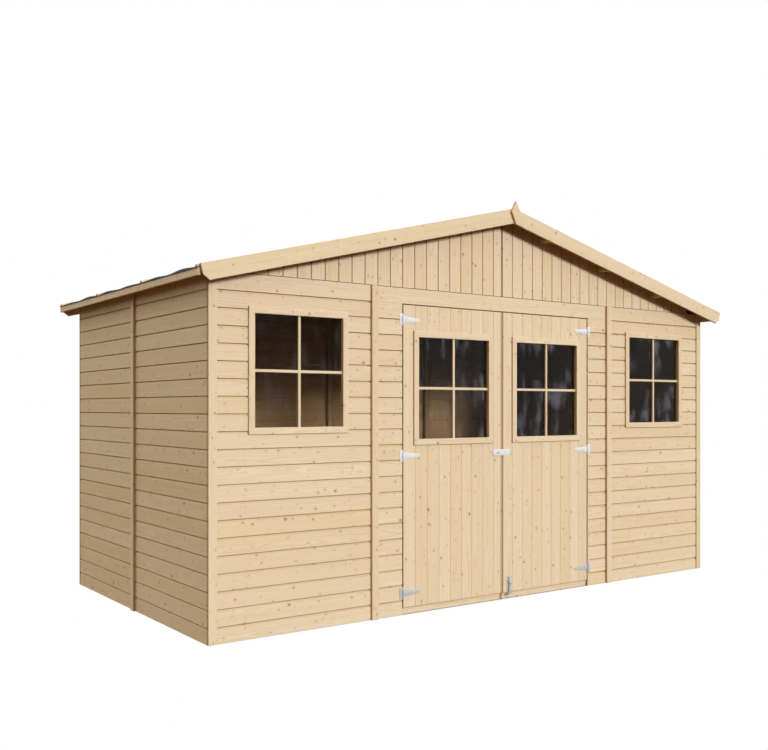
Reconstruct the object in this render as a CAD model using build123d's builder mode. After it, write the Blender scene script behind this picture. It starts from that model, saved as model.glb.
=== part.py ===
"""Wooden garden shed: apex roof, double doors with windows, two front windows.

Frame: millimetres, +Z up, origin on the ground at the middle of the footprint.
The front, with the doors, faces -Y, and +X is to the right of someone who faces it.
"""

import os
from math import atan, cos, degrees, sin

from build123d import *

os.makedirs("parts", exist_ok=True)

# ---------------------------------------------------------------- driving dimensions
WALL_W = 3888.0  # footprint along X, outside of the cladding
WALL_D = 1984.0  # footprint along Y, outside of the cladding
WALL_H = 1843.0  # top of all four walls
RIDGE_RISE = 486.0  # from the wall top to the underside of the deck at the ridge
CLAD_T = 16.0  # tongue-and-groove cladding
PANEL_GAP = 3.0  # joint between two wall panels, under a cover batten
GABLE_GAP = 8.0  # joint between the two halves of a gable

STUD = 34.0  # square section of the studs and rails behind the cladding
STUD_GAP = 1.0  # between the frames of two walls at a corner

TRIM_W = 46.0  # corner trims
TRIM_T = 7.0
BATTEN_W = 43.0  # cover battens over the panel joints
BATTEN_T = 16.0

DOORWAY_W = 1516.0
HEADER_H = 88.0  # one board over the doorway
DOOR_POST_W = 194.0  # from the doorway to a panel joint
LEAF_GAP = 8.0  # between a leaf and the side of the doorway
LEAF_TOP_GAP = 6.0
LEAF_FOOT_GAP = 6.0  # between the sill and a leaf
MEETING_GAP = 20.0  # between the two leaves
SILL_GAP = 22.0  # between the two sill pieces
LEDGE_H = 70.0  # ledges and brace behind a leaf
LEDGE_T = 20.0
LEDGE_INSET = 12.0  # from the end of a ledge to the edge of the leaf
BRACE_GAP = 0.5  # between a brace and the ledges

WINDOW_W = 600.0  # outer size of a window frame
WINDOW_H = 650.0
WINDOW_BAR = 35.0  # visible width of a window frame's bars
WINDOW_PROUD = 11.0  # how far a frame stands out of the boards
WINDOW_LIP = 12.0  # how far the frame laps over the edge of the hole
WINDOW_FIT = 1.0  # clearance of the frame's back part in the hole
WALL_WINDOW_SHIFT = 23.0  # from the middle of a panel towards the doors
WALL_WINDOW_DROP = 161.0  # from the wall top to a frame
LEAF_WINDOW_DROP = 144.0  # from the top of a leaf to a frame
GLASS_T = 4.0
GLASS_FIT = 0.4  # clearance round the edge of a pane
GLASS_DEPTH = 12.0  # from the front of the cladding to the front of a pane
REBATE = 8.0  # how far a pane reaches into its frame

HINGE_FOOT = 82.0  # from the foot of a leaf to the lowest hinge
HINGE_DROP = 84.0  # from the top of a leaf to the highest hinge
HINGE_UNDER_WINDOW = 59.0  # from the window to the middle hinge
HINGE_METAL = 2.5
HINGE_PLATE_W = 24.0
HINGE_PLATE_H = 66.0
HINGE_KNUCKLE_R = 5.0
HINGE_KNUCKLE_H = 44.0
HINGE_PIN_R = 2.0
HINGE_PIN_FIT = 0.3
STRAP_KNUCKLE_H = 26.0  # the strap's share of the knuckle
STRAP_L = 122.0
STRAP_ROOT_H = 38.0
STRAP_TIP_H = 18.0
KNUCKLE_GAP = 0.5  # between neighbouring knuckles

HASP_INSET = 7.0  # from the edge of the right leaf to the knuckle of the hasp
HASP_METAL = 2.5
HASP_KNUCKLE_R = 4.0
HASP_STRAP_L = 98.0
HASP_STRAP_H = 38.0
HASP_PLATE_W = 44.0
HASP_KNUCKLE_H = 20.0  # the strap's share of the hasp's knuckle
HASP_PIN_R = 1.5
HASP_STANDOFF = 3.0  # from the leaves to the back of the strap
HASP_SLOT_INSET = 23.5  # from the edge of the left leaf to the middle of the slot
HASP_SLOT_L = 28.0
HASP_SLOT_H = 8.0
STAPLE_WIRE = 4.0
STAPLE_L = 20.0
STAPLE_REACH = 18.0

BOLT_INSET = 45.0  # from the edge of the right leaf to the rod
BOLT_RISE = 4.0  # from the foot of the leaf to the backplate
BOLT_PLATE_W = 34.0
BOLT_PLATE_H = 92.0
BOLT_METAL = 2.0
BOLT_R = 5.0
BOLT_FIT = 0.4
BOLT_ROD_TOP = 90.0  # this and the next two are measured from the foot of the backplate
BOLT_KNOB_RISE = 49.0
BOLT_GUIDE_RISES = (11.0, 65.0)
BOLT_LIFT = 6.0  # from the keeper to the drawn rod
BOLT_GUIDE_W = 18.0
BOLT_GUIDE_H = 10.0
BOLT_GUIDE_WALL = 2.0
BOLT_KNOB_R = 3.5
BOLT_KNOB_L = 16.0
KEEPER_FIT = 2.0  # sideways clearance of the rod in the keeper
KEEPER_W = 34.0
KEEPER_INSET = 4.0  # between the keeper and the top and bottom of the sill
KEEPER_METAL = 3.0

DECK_T = 20.0
EAVE_OUT = 83.0  # the deck beyond the side walls
END_OUT = 95.0  # the deck and purlins beyond the front and back walls
FELT_T = 3.0
FELT_DRIP = 4.0  # the felt beyond the fascia
FASCIA_T = 16.0
FASCIA_H = 38.5
BARGE_W = 87.0
BARGE_T = 16.0
BARGE_RISE = 15.5  # top of a bargeboard above the deck, measured upright
BARGE_END = 89.0  # top corner of a bargeboard beyond the side wall
BARGE_BEVEL_H = 34.0  # bevel at the lower corner, across the board
BARGE_BEVEL_L = 28.0  # and along it
BARGE_GAP = 0.5  # half of the joint at the peak
FINIAL_H = 137.0
FINIAL_W = 70.0
FINIAL_DROP = 6.0  # from the foot of the bargeboards' joint down to the foot of a finial
FINIAL_SHOULDER = 72.0  # widest point above the foot
PURLIN_W = 35.0
PURLIN_H = 45.0
PURLIN_COUNT = 3  # on each side of the ridge
PURLIN_FIRST = 0.61  # from the ridge to the first purlin, as a share of a step
RIDGE_BEAM_W = 35.0
RIDGE_BEAM_H = 49.0
NOTCH_FIT = 1.0  # clearance of purlins and ridge beam in the gables
FELT_BATTEN_W = 25.0
FELT_BATTEN_T = 10.0
FELT_BATTEN_GAP = 3.0  # between the two battens that meet at the ridge
FELT_BATTEN_COUNT = 4
FELT_BATTEN_INSET = 0.5  # from the end of the felt

# ---------------------------------------------------------------- worked-out sizes
SIDES = {"left": -1, "right": 1}
ENDS = {"front": -1, "back": 1}
HALF_W = WALL_W / 2
HALF_D = WALL_D / 2
PITCH = atan(RIDGE_RISE / HALF_W)
PITCH_DEG = degrees(PITCH)
RIDGE_Z = WALL_H + RIDGE_RISE
DOORWAY_H = WALL_H - HEADER_H
JOINT_X = DOORWAY_W / 2 + DOOR_POST_W
END_PANEL_W = HALF_W - JOINT_X
FRAME_W = HALF_W - CLAD_T  # outer faces of the studs
FRAME_D = HALF_D - CLAD_T
ROOM_W = FRAME_W - STUD  # inner faces of the studs
ROOM_D = FRAME_D - STUD
LEAF_W = (DOORWAY_W - MEETING_GAP) / 2 - LEAF_GAP
LEAF_X = MEETING_GAP / 2 + LEAF_W / 2
LEAF_FOOT = STUD + LEAF_FOOT_GAP
LEAF_TOP = DOORWAY_H - LEAF_TOP_GAP
LEAF_H = LEAF_TOP - LEAF_FOOT
WALL_WINDOW_X = HALF_W - END_PANEL_W / 2 - WALL_WINDOW_SHIFT
WALL_WINDOW_Z = WALL_H - WALL_WINDOW_DROP - WINDOW_H / 2
LEAF_WINDOW_Z = LEAF_TOP - LEAF_WINDOW_DROP - WINDOW_H / 2
LOW_HINGE_Z = LEAF_FOOT + HINGE_FOOT
MIDDLE_HINGE_Z = LEAF_WINDOW_Z - WINDOW_H / 2 - HINGE_UNDER_WINDOW
TOP_HINGE_Z = LEAF_TOP - HINGE_DROP
HINGE_HEIGHTS = (LOW_HINGE_Z, MIDDLE_HINGE_Z, TOP_HINGE_Z)
PIVOT_X = (DOORWAY_W - LEAF_GAP) / 2
PIVOT_Y = -HALF_D - HINGE_KNUCKLE_R
HOLE_W = WINDOW_W - 2 * WINDOW_LIP
HOLE_H = WINDOW_H - 2 * WINDOW_LIP
SIGHT_W = WINDOW_W - 2 * WINDOW_BAR
SIGHT_H = WINDOW_H - 2 * WINDOW_BAR
PURLIN_STEP = ROOM_W / (PURLIN_COUNT + 0.5)
PURLIN_X = [(index + PURLIN_FIRST) * PURLIN_STEP for index in range(PURLIN_COUNT)]
EAVE_X = HALF_W + EAVE_OUT
FELT_END = EAVE_X + FASCIA_T + FELT_DRIP
ROOF_D = HALF_D + END_OUT
DECK_RISE = DECK_T / cos(PITCH)
FELT_RISE = FELT_T / cos(PITCH)
BARGE_DROP = BARGE_W / cos(PITCH)


def under_deck(x):
    """Height of the underside of the deck at a distance x from the ridge."""
    return RIDGE_Z - abs(x) * RIDGE_RISE / HALF_W


def roof_strip(side, start, end, lift, rise):
    """Corners of a strip of roof that lies `lift` above the deck's underside."""
    return [
        (side * start, under_deck(start) + lift),
        (side * end, under_deck(end) + lift),
        (side * end, under_deck(end) + lift + rise),
        (side * start, under_deck(start) + lift + rise),
    ]


def purlin_centre(side, x):
    """Middle of a purlin's section, set square to the deck's underside."""
    return (side * (x - sin(PITCH) * PURLIN_H / 2), under_deck(x) - cos(PITCH) * PURLIN_H / 2)


# ================================================================ walls
for side_name, side in SIDES.items():
    # A front panel of boards with its window hole.
    with BuildPart() as front_wall:
        with BuildSketch(Plane.XZ.offset(HALF_D)):
            with Locations((side * (HALF_W + JOINT_X + PANEL_GAP / 2) / 2, WALL_H / 2)):
                Rectangle(END_PANEL_W - PANEL_GAP / 2, WALL_H)
            with Locations((side * WALL_WINDOW_X, WALL_WINDOW_Z)):
                Rectangle(HOLE_W, HOLE_H, mode=Mode.SUBTRACT)
        extrude(amount=-CLAD_T)
    front_wall.part.label = f"front_wall_{side_name}"
    export_step(front_wall.part, f"parts/front_wall_{side_name}.step")

    # The strip of wall between a panel joint and the doorway.
    with BuildPart() as door_wall:
        with BuildSketch(Plane.XZ.offset(HALF_D)):
            strip_w = JOINT_X - PANEL_GAP / 2 - DOORWAY_W / 2
            with Locations((side * (DOORWAY_W / 2 + strip_w / 2), DOORWAY_H / 2)):
                Rectangle(strip_w, DOORWAY_H)
        extrude(amount=-CLAD_T)
    door_wall.part.label = f"door_wall_{side_name}"
    export_step(door_wall.part, f"parts/door_wall_{side_name}.step")

    # Two panels of boards, from front to back.
    with BuildPart() as side_wall:
        with BuildSketch(Plane.YZ.offset(side * FRAME_W)):
            with Locations(*[(end * (FRAME_D + PANEL_GAP / 2) / 2, WALL_H / 2) for end in ENDS.values()]):
                Rectangle(FRAME_D - PANEL_GAP / 2, WALL_H)
        extrude(amount=side * CLAD_T)
    side_wall.part.label = f"{side_name}_wall"
    export_step(side_wall.part, f"parts/{side_name}_wall.step")

# One board across the doorway.
with BuildPart() as door_header:
    with BuildSketch(Plane.XZ.offset(HALF_D)):
        with Locations((0, (WALL_H + DOORWAY_H) / 2)):
            Rectangle(2 * JOINT_X - PANEL_GAP, WALL_H - DOORWAY_H)
    extrude(amount=-CLAD_T)
door_header.part.label = "door_header"
export_step(door_header.part, "parts/door_header.step")

# Four panels of boards with joints at the same places as on the front, and one in the middle.
BACK_JOINTS = (-JOINT_X, 0.0, JOINT_X)
with BuildPart() as back_wall:
    with BuildSketch(Plane.XZ.offset(-FRAME_D)):
        with Locations((0, WALL_H / 2)):
            Rectangle(WALL_W, WALL_H)
        with Locations(*[(x, WALL_H / 2) for x in BACK_JOINTS]):
            Rectangle(PANEL_GAP, WALL_H, mode=Mode.SUBTRACT)
    extrude(amount=-CLAD_T)
back_wall.part.label = "back_wall"
export_step(back_wall.part, "parts/back_wall.step")

for end_name, end in ENDS.items():
    # Two triangles of upright boards, notched for the purlins and the ridge beam.
    with BuildPart() as gable:
        with BuildSketch(Plane.XZ.offset(-end * HALF_D)):
            for side in SIDES.values():
                with BuildLine():
                    Polyline(
                        (side * GABLE_GAP / 2, WALL_H),
                        (side * HALF_W, WALL_H),
                        (side * GABLE_GAP / 2, under_deck(GABLE_GAP / 2)),
                        close=True,
                    )
                make_face()
                for x in PURLIN_X:
                    with Locations(purlin_centre(side, x)):
                        Rectangle(
                            PURLIN_W + 2 * NOTCH_FIT,
                            PURLIN_H + 2 * NOTCH_FIT,
                            rotation=-side * PITCH_DEG,
                            mode=Mode.SUBTRACT,
                        )
            with Locations((0, RIDGE_Z)):
                Rectangle(RIDGE_BEAM_W + 2 * NOTCH_FIT, 2 * (RIDGE_BEAM_H + NOTCH_FIT), mode=Mode.SUBTRACT)
        extrude(amount=end * CLAD_T)
    gable.part.label = f"{end_name}_gable"
    export_step(gable.part, f"parts/{end_name}_gable.step")

# ================================================================ frame behind the boards
JOINT_STUD = (PANEL_GAP + STUD) / 2  # from a panel joint to the stud beside it
WINDOW_STUD = (WINDOW_W + STUD) / 2  # from a window's centre to the studs beside it
DOOR_STUD = (DOORWAY_W + STUD) / 2
CORNER_STUD = ROOM_D - STUD_GAP - STUD / 2
FRONT_STUDS = (
    FRAME_W - STUD / 2,
    WALL_WINDOW_X + WINDOW_STUD,
    WALL_WINDOW_X - WINDOW_STUD,
    JOINT_X + JOINT_STUD,
    JOINT_X - JOINT_STUD,
    DOOR_STUD,
)
BACK_STUDS = (FRAME_W - STUD / 2, JOINT_X + JOINT_STUD, JOINT_X - JOINT_STUD, JOINT_STUD)
SIDE_STUDS = (CORNER_STUD, JOINT_STUD)

# Studs stand between the bottom rails and the top rails.
with BuildPart() as wall_studs:
    with BuildSketch(Plane.XY.offset(STUD)):
        for side in SIDES.values():
            with Locations(*[(side * x, -FRAME_D + STUD / 2) for x in FRONT_STUDS]):
                Rectangle(STUD, STUD)
            with Locations(*[(side * x, FRAME_D - STUD / 2) for x in BACK_STUDS]):
                Rectangle(STUD, STUD)
            for end in ENDS.values():
                with Locations(*[(side * (FRAME_W - STUD / 2), end * y) for y in SIDE_STUDS]):
                    Rectangle(STUD, STUD)
    extrude(amount=WALL_H - 2 * STUD)
wall_studs.part.label = "wall_studs"
export_step(wall_studs.part, "parts/wall_studs.step")

# Bottom rails stop at the doorway, top rails run through, and short rails frame the windows.
BOTTOM_Z = STUD / 2
TOP_Z = WALL_H - STUD / 2
MIDDLE_Z = WALL_H / 2
RAIL_L = FRAME_W - DOORWAY_W / 2
WINDOW_RAIL_Z = [WALL_WINDOW_Z + end * (WINDOW_H + STUD) / 2 for end in (-1, 1)]
SIDE_RAIL_L = 2 * (ROOM_D - STUD_GAP)
MIDDLE_RAIL_L = CORNER_STUD - JOINT_STUD - STUD
MIDDLE_RAIL_Y = (CORNER_STUD + JOINT_STUD) / 2
with BuildPart() as wall_rails:
    for side in SIDES.values():
        with Locations((side * (FRAME_W + DOORWAY_W / 2) / 2, -FRAME_D + STUD / 2, BOTTOM_Z)):
            Box(RAIL_L, STUD, STUD)
        with Locations(*[(side * WALL_WINDOW_X, -FRAME_D + STUD / 2, z) for z in WINDOW_RAIL_Z]):
            Box(WINDOW_W, STUD, STUD)
        with Locations(*[(side * (FRAME_W - STUD / 2), 0, z) for z in (BOTTOM_Z, TOP_Z)]):
            Box(STUD, SIDE_RAIL_L, STUD)
        with Locations(
            *[(side * (FRAME_W - STUD / 2), end * MIDDLE_RAIL_Y, MIDDLE_Z) for end in ENDS.values()]
        ):
            Box(STUD, MIDDLE_RAIL_L, STUD)
    with Locations((0, -FRAME_D + STUD / 2, TOP_Z)):
        Box(2 * FRAME_W, STUD, STUD)
    with Locations(*[(0, FRAME_D - STUD / 2, z) for z in (BOTTOM_Z, TOP_Z)]):
        Box(2 * FRAME_W, STUD, STUD)
    with Locations((0, -FRAME_D + STUD / 2, DOORWAY_H + STUD / 2)):
        Box(DOORWAY_W, STUD, STUD)
wall_rails.part.label = "wall_rails"
export_step(wall_rails.part, "parts/wall_rails.step")

# Two lengths of rail under the leaves, set back from the boards.
with BuildPart() as door_sill:
    for side in SIDES.values():
        with Locations((side * (DOORWAY_W / 2 + SILL_GAP / 2) / 2, -FRAME_D + STUD / 2, BOTTOM_Z)):
            Box((DOORWAY_W - SILL_GAP) / 2, STUD, STUD)
door_sill.part.label = "door_sill"
export_step(door_sill.part, "parts/door_sill.step")

# ================================================================ trims and cover battens
TRIM_X = HALF_W - TRIM_W / 2
TRIM_Y = HALF_D + TRIM_T / 2
with BuildPart() as corner_trims:
    for side in SIDES.values():
        with Locations(*[(side * TRIM_X, end * TRIM_Y, WALL_H / 2) for end in ENDS.values()]):
            Box(TRIM_W, TRIM_T, WALL_H)
corner_trims.part.label = "corner_trims"
export_step(corner_trims.part, "parts/corner_trims.step")

SIDE_BATTEN_H = under_deck(HALF_W + BATTEN_T)
with BuildPart() as cover_battens:
    with Locations(*[(side * JOINT_X, -HALF_D - BATTEN_T / 2, WALL_H / 2) for side in SIDES.values()]):
        Box(BATTEN_W, BATTEN_T, WALL_H)
    with Locations(*[(x, HALF_D + BATTEN_T / 2, WALL_H / 2) for x in BACK_JOINTS]):
        Box(BATTEN_W, BATTEN_T, WALL_H)
    with Locations(*[(side * (HALF_W + BATTEN_T / 2), 0, SIDE_BATTEN_H / 2) for side in SIDES.values()]):
        Box(BATTEN_T, BATTEN_W, SIDE_BATTEN_H)
cover_battens.part.label = "cover_battens"
export_step(cover_battens.part, "parts/cover_battens.step")

# ================================================================ windows
WINDOWS = (
    ("front_window_left", -WALL_WINDOW_X, WALL_WINDOW_Z),
    ("front_window_right", WALL_WINDOW_X, WALL_WINDOW_Z),
    ("left_leaf_window", -LEAF_X, LEAF_WINDOW_Z),
    ("right_leaf_window", LEAF_X, LEAF_WINDOW_Z),
)
for window_name, window_x, window_z in WINDOWS:
    # The frame stands proud of the boards, laps over their cut edge, and is rebated for its pane.
    with BuildPart() as window_frame:
        with BuildSketch(Plane.XZ.offset(HALF_D)):
            with Locations((window_x, window_z)):
                Rectangle(WINDOW_W, WINDOW_H)
                Rectangle(SIGHT_W, SIGHT_H, mode=Mode.SUBTRACT)
        extrude(amount=WINDOW_PROUD)
        with BuildSketch(Plane.XZ.offset(HALF_D)):
            with Locations((window_x, window_z)):
                Rectangle(HOLE_W - 2 * WINDOW_FIT, HOLE_H - 2 * WINDOW_FIT)
                Rectangle(SIGHT_W, SIGHT_H, mode=Mode.SUBTRACT)
        extrude(amount=-CLAD_T)
        with BuildSketch(Plane.XZ.offset(FRAME_D)):
            with Locations((window_x, window_z)):
                Rectangle(SIGHT_W + 2 * (REBATE + GLASS_FIT), SIGHT_H + 2 * (REBATE + GLASS_FIT))
        extrude(amount=CLAD_T - GLASS_DEPTH, mode=Mode.SUBTRACT)
    window_frame.part.label = window_name
    export_step(window_frame.part, f"parts/{window_name}.step")

    with BuildPart() as pane:
        with BuildSketch(Plane.XZ.offset(HALF_D - GLASS_DEPTH)):
            with Locations((window_x, window_z)):
                Rectangle(SIGHT_W + 2 * REBATE, SIGHT_H + 2 * REBATE)
        extrude(amount=-GLASS_T)
    pane.part.label = f"{window_name}_pane"
    export_step(pane.part, f"parts/{window_name}_pane.step")

# ================================================================ door leaves
LEDGE_L = LEAF_W - 2 * LEDGE_INSET
LOW_LEDGE_TOP = LOW_HINGE_Z + LEDGE_H / 2 + BRACE_GAP
MIDDLE_LEDGE_FOOT = MIDDLE_HINGE_Z - LEDGE_H / 2 - BRACE_GAP
BRACE_OUT = LEAF_X + LEDGE_L / 2
BRACE_IN = LEAF_X - LEDGE_L / 2
for side_name, side in SIDES.items():
    with BuildPart() as leaf:
        with BuildSketch(Plane.XZ.offset(HALF_D)):
            with Locations((side * LEAF_X, (LEAF_FOOT + LEAF_TOP) / 2)):
                Rectangle(LEAF_W, LEAF_H)
            with Locations((side * LEAF_X, LEAF_WINDOW_Z)):
                Rectangle(HOLE_W, HOLE_H, mode=Mode.SUBTRACT)
        extrude(amount=-CLAD_T)
    leaf.part.label = f"{side_name}_leaf"
    export_step(leaf.part, f"parts/{side_name}_leaf.step")

    # Three ledges behind the hinges, and a brace that rises from the hinge side.
    with BuildPart() as ledges:
        with BuildSketch(Plane.XZ.offset(FRAME_D)):
            with Locations(*[(side * LEAF_X, z) for z in HINGE_HEIGHTS]):
                Rectangle(LEDGE_L, LEDGE_H)
            with BuildLine():
                Polyline(
                    (side * BRACE_OUT, LOW_LEDGE_TOP),
                    (side * (BRACE_OUT - LEDGE_H), LOW_LEDGE_TOP),
                    (side * BRACE_IN, MIDDLE_LEDGE_FOOT),
                    (side * (BRACE_IN + LEDGE_H), MIDDLE_LEDGE_FOOT),
                    close=True,
                )
            make_face()
        extrude(amount=-LEDGE_T)
    ledges.part.label = f"{side_name}_leaf_ledges"
    export_step(ledges.part, f"parts/{side_name}_leaf_ledges.step")

# ================================================================ hinges
NOTCH_W = HINGE_KNUCKLE_R + KNUCKLE_GAP  # keeps each leaf of a hinge off the other's knuckles
END_KNUCKLE_H = (HINGE_KNUCKLE_H - STRAP_KNUCKLE_H) / 2 - KNUCKLE_GAP
for side_name, side in SIDES.items():
    # The moving leaf: a tapering strap with a round tip and the middle knuckle.
    with BuildPart() as hinge_straps:
        for hinge_z in HINGE_HEIGHTS:
            with BuildSketch(Plane.XZ.offset(HALF_D)):
                with BuildLine():
                    Polyline(
                        (side * (PIVOT_X - NOTCH_W), hinge_z + STRAP_ROOT_H / 2),
                        (side * (PIVOT_X - NOTCH_W), hinge_z - STRAP_ROOT_H / 2),
                        (side * (PIVOT_X - STRAP_L + STRAP_TIP_H / 2), hinge_z - STRAP_TIP_H / 2),
                        (side * (PIVOT_X - STRAP_L + STRAP_TIP_H / 2), hinge_z + STRAP_TIP_H / 2),
                        close=True,
                    )
                make_face()
                with Locations((side * (PIVOT_X - STRAP_L + STRAP_TIP_H / 2), hinge_z)):
                    Circle(STRAP_TIP_H / 2)
                with Locations((side * (PIVOT_X - NOTCH_W / 2), hinge_z)):
                    Rectangle(NOTCH_W, STRAP_KNUCKLE_H)
            extrude(amount=HINGE_METAL)
            with BuildSketch(Plane.XY.offset(hinge_z - STRAP_KNUCKLE_H / 2)):
                with Locations((side * PIVOT_X, PIVOT_Y)):
                    Circle(HINGE_KNUCKLE_R)
            extrude(amount=STRAP_KNUCKLE_H)
            with BuildSketch(Plane.XY.offset(hinge_z - STRAP_KNUCKLE_H / 2)):
                with Locations((side * PIVOT_X, PIVOT_Y)):
                    Circle(HINGE_PIN_R + HINGE_PIN_FIT)
            extrude(amount=STRAP_KNUCKLE_H, mode=Mode.SUBTRACT)
    hinge_straps.part.label = f"{side_name}_hinge_straps"
    export_step(hinge_straps.part, f"parts/{side_name}_hinge_straps.step")

# The fixed leaves: plates on the wall with the end knuckles and the pin.
with BuildPart() as hinge_plates:
    for side in SIDES.values():
        for hinge_z in HINGE_HEIGHTS:
            with BuildSketch(Plane.XZ.offset(HALF_D)):
                with Locations((side * (PIVOT_X + HINGE_PLATE_W / 2), hinge_z)):
                    Rectangle(HINGE_PLATE_W, HINGE_PLATE_H)
                with Locations((side * (PIVOT_X + NOTCH_W / 2), hinge_z)):
                    Rectangle(NOTCH_W, STRAP_KNUCKLE_H + 2 * KNUCKLE_GAP, mode=Mode.SUBTRACT)
            extrude(amount=HINGE_METAL)
            for foot in (hinge_z - HINGE_KNUCKLE_H / 2, hinge_z + HINGE_KNUCKLE_H / 2 - END_KNUCKLE_H):
                with BuildSketch(Plane.XY.offset(foot)):
                    with Locations((side * PIVOT_X, PIVOT_Y)):
                        Circle(HINGE_KNUCKLE_R)
                extrude(amount=END_KNUCKLE_H)
            with BuildSketch(Plane.XY.offset(hinge_z - HINGE_KNUCKLE_H / 2)):
                with Locations((side * PIVOT_X, PIVOT_Y)):
                    Circle(HINGE_PIN_R)
            extrude(amount=HINGE_KNUCKLE_H)
hinge_plates.part.label = "hinge_plates"
export_step(hinge_plates.part, "parts/hinge_plates.step")

# ================================================================ hasp and staple
HASP_X = MEETING_GAP / 2 + HASP_INSET
HASP_Y = -HALF_D - HASP_KNUCKLE_R
HASP_Z = MIDDLE_HINGE_Z
HASP_SLOT_X = -MEETING_GAP / 2 - HASP_SLOT_INSET
HASP_NOTCH = HASP_KNUCKLE_R + KNUCKLE_GAP
HASP_BORE = HASP_PIN_R + HINGE_PIN_FIT
HASP_END_H = (HASP_STRAP_H - HASP_KNUCKLE_H) / 2 - KNUCKLE_GAP
HASP_TIP_X = HASP_X - HASP_STRAP_L

# Fixed to the right leaf, with the end knuckles and the pin.
with BuildPart() as hasp_plate:
    with BuildSketch(Plane.XZ.offset(HALF_D)):
        with Locations((HASP_X + HASP_PLATE_W / 2, HASP_Z)):
            Rectangle(HASP_PLATE_W, HASP_STRAP_H)
        with Locations((HASP_X + HASP_NOTCH / 2, HASP_Z)):
            Rectangle(HASP_NOTCH, HASP_KNUCKLE_H + 2 * KNUCKLE_GAP, mode=Mode.SUBTRACT)
    extrude(amount=HASP_METAL)
    for foot in (HASP_Z - HASP_STRAP_H / 2, HASP_Z + HASP_STRAP_H / 2 - HASP_END_H):
        with BuildSketch(Plane.XY.offset(foot)):
            with Locations((HASP_X, HASP_Y)):
                Circle(HASP_KNUCKLE_R)
        extrude(amount=HASP_END_H)
    with BuildSketch(Plane.XY.offset(HASP_Z - HASP_STRAP_H / 2)):
        with Locations((HASP_X, HASP_Y)):
            Circle(HASP_PIN_R)
    extrude(amount=HASP_STRAP_H)
hasp_plate.part.label = "hasp_plate"
export_step(hasp_plate.part, "parts/hasp_plate.step")

# Swings from the right leaf over the staple, with a round end and a slot.
with BuildPart() as hasp_strap:
    with BuildSketch(Plane.XZ.offset(HALF_D + HASP_STANDOFF)):
        with Locations(((HASP_X - HASP_NOTCH + HASP_TIP_X + HASP_STRAP_H / 2) / 2, HASP_Z)):
            Rectangle(HASP_STRAP_L - HASP_NOTCH - HASP_STRAP_H / 2, HASP_STRAP_H)
        with Locations((HASP_TIP_X + HASP_STRAP_H / 2, HASP_Z)):
            Circle(HASP_STRAP_H / 2)
        with Locations((HASP_X - HASP_NOTCH / 2, HASP_Z)):
            Rectangle(HASP_NOTCH, HASP_KNUCKLE_H)
        with Locations((HASP_SLOT_X, HASP_Z)):
            Rectangle(HASP_SLOT_L, HASP_SLOT_H, mode=Mode.SUBTRACT)
    extrude(amount=HASP_METAL)
    with BuildSketch(Plane.XY.offset(HASP_Z - HASP_KNUCKLE_H / 2)):
        with Locations((HASP_X, HASP_Y)):
            Circle(HASP_KNUCKLE_R)
    extrude(amount=HASP_KNUCKLE_H)
    with BuildSketch(Plane.XY.offset(HASP_Z - HASP_KNUCKLE_H / 2)):
        with Locations((HASP_X, HASP_Y)):
            Circle(HASP_BORE)
    extrude(amount=HASP_KNUCKLE_H, mode=Mode.SUBTRACT)
hasp_strap.part.label = "hasp_strap"
export_step(hasp_strap.part, "parts/hasp_strap.step")

# A bent wire that stands out of the left leaf, through the slot.
with BuildPart() as hasp_staple:
    with BuildSketch(Plane.XY.offset(HASP_Z - STAPLE_WIRE / 2)):
        with Locations((HASP_SLOT_X, -HALF_D - STAPLE_REACH / 2)):
            Rectangle(STAPLE_L, STAPLE_REACH)
        with Locations((HASP_SLOT_X, -HALF_D - (STAPLE_REACH - STAPLE_WIRE) / 2)):
            Rectangle(STAPLE_L - 2 * STAPLE_WIRE, STAPLE_REACH - STAPLE_WIRE, mode=Mode.SUBTRACT)
    extrude(amount=STAPLE_WIRE)
hasp_staple.part.label = "hasp_staple"
export_step(hasp_staple.part, "parts/hasp_staple.step")

# ================================================================ tower bolt
BOLT_X = MEETING_GAP / 2 + BOLT_INSET
BOLT_Y = -HALF_D - BOLT_METAL - BOLT_R - BOLT_FIT
BOLT_FOOT = LEAF_FOOT + BOLT_RISE
GUIDE_REACH = 2 * (BOLT_R + BOLT_FIT) + BOLT_GUIDE_WALL
KEEPER_TOP = STUD - KEEPER_INSET
KEEPER_REACH = BOLT_R + KEEPER_FIT + KEEPER_METAL - BOLT_Y - FRAME_D
ROD_FOOT = KEEPER_TOP + BOLT_LIFT

# Backplate and two guides on the right leaf.
with BuildPart() as bolt_guides:
    with BuildSketch(Plane.XZ.offset(HALF_D)):
        with Locations((BOLT_X, BOLT_FOOT + BOLT_PLATE_H / 2)):
            Rectangle(BOLT_PLATE_W, BOLT_PLATE_H)
    extrude(amount=BOLT_METAL)
    for rise in BOLT_GUIDE_RISES:
        with Locations((BOLT_X, -HALF_D - BOLT_METAL - GUIDE_REACH / 2, BOLT_FOOT + rise)):
            Box(BOLT_GUIDE_W, GUIDE_REACH, BOLT_GUIDE_H)
        with BuildSketch(Plane.XY.offset(BOLT_FOOT + rise - BOLT_GUIDE_H / 2)):
            with Locations((BOLT_X, BOLT_Y)):
                Circle(BOLT_R + BOLT_FIT)
        extrude(amount=BOLT_GUIDE_H, mode=Mode.SUBTRACT)
bolt_guides.part.label = "bolt_guides"
export_step(bolt_guides.part, "parts/bolt_guides.step")

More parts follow.
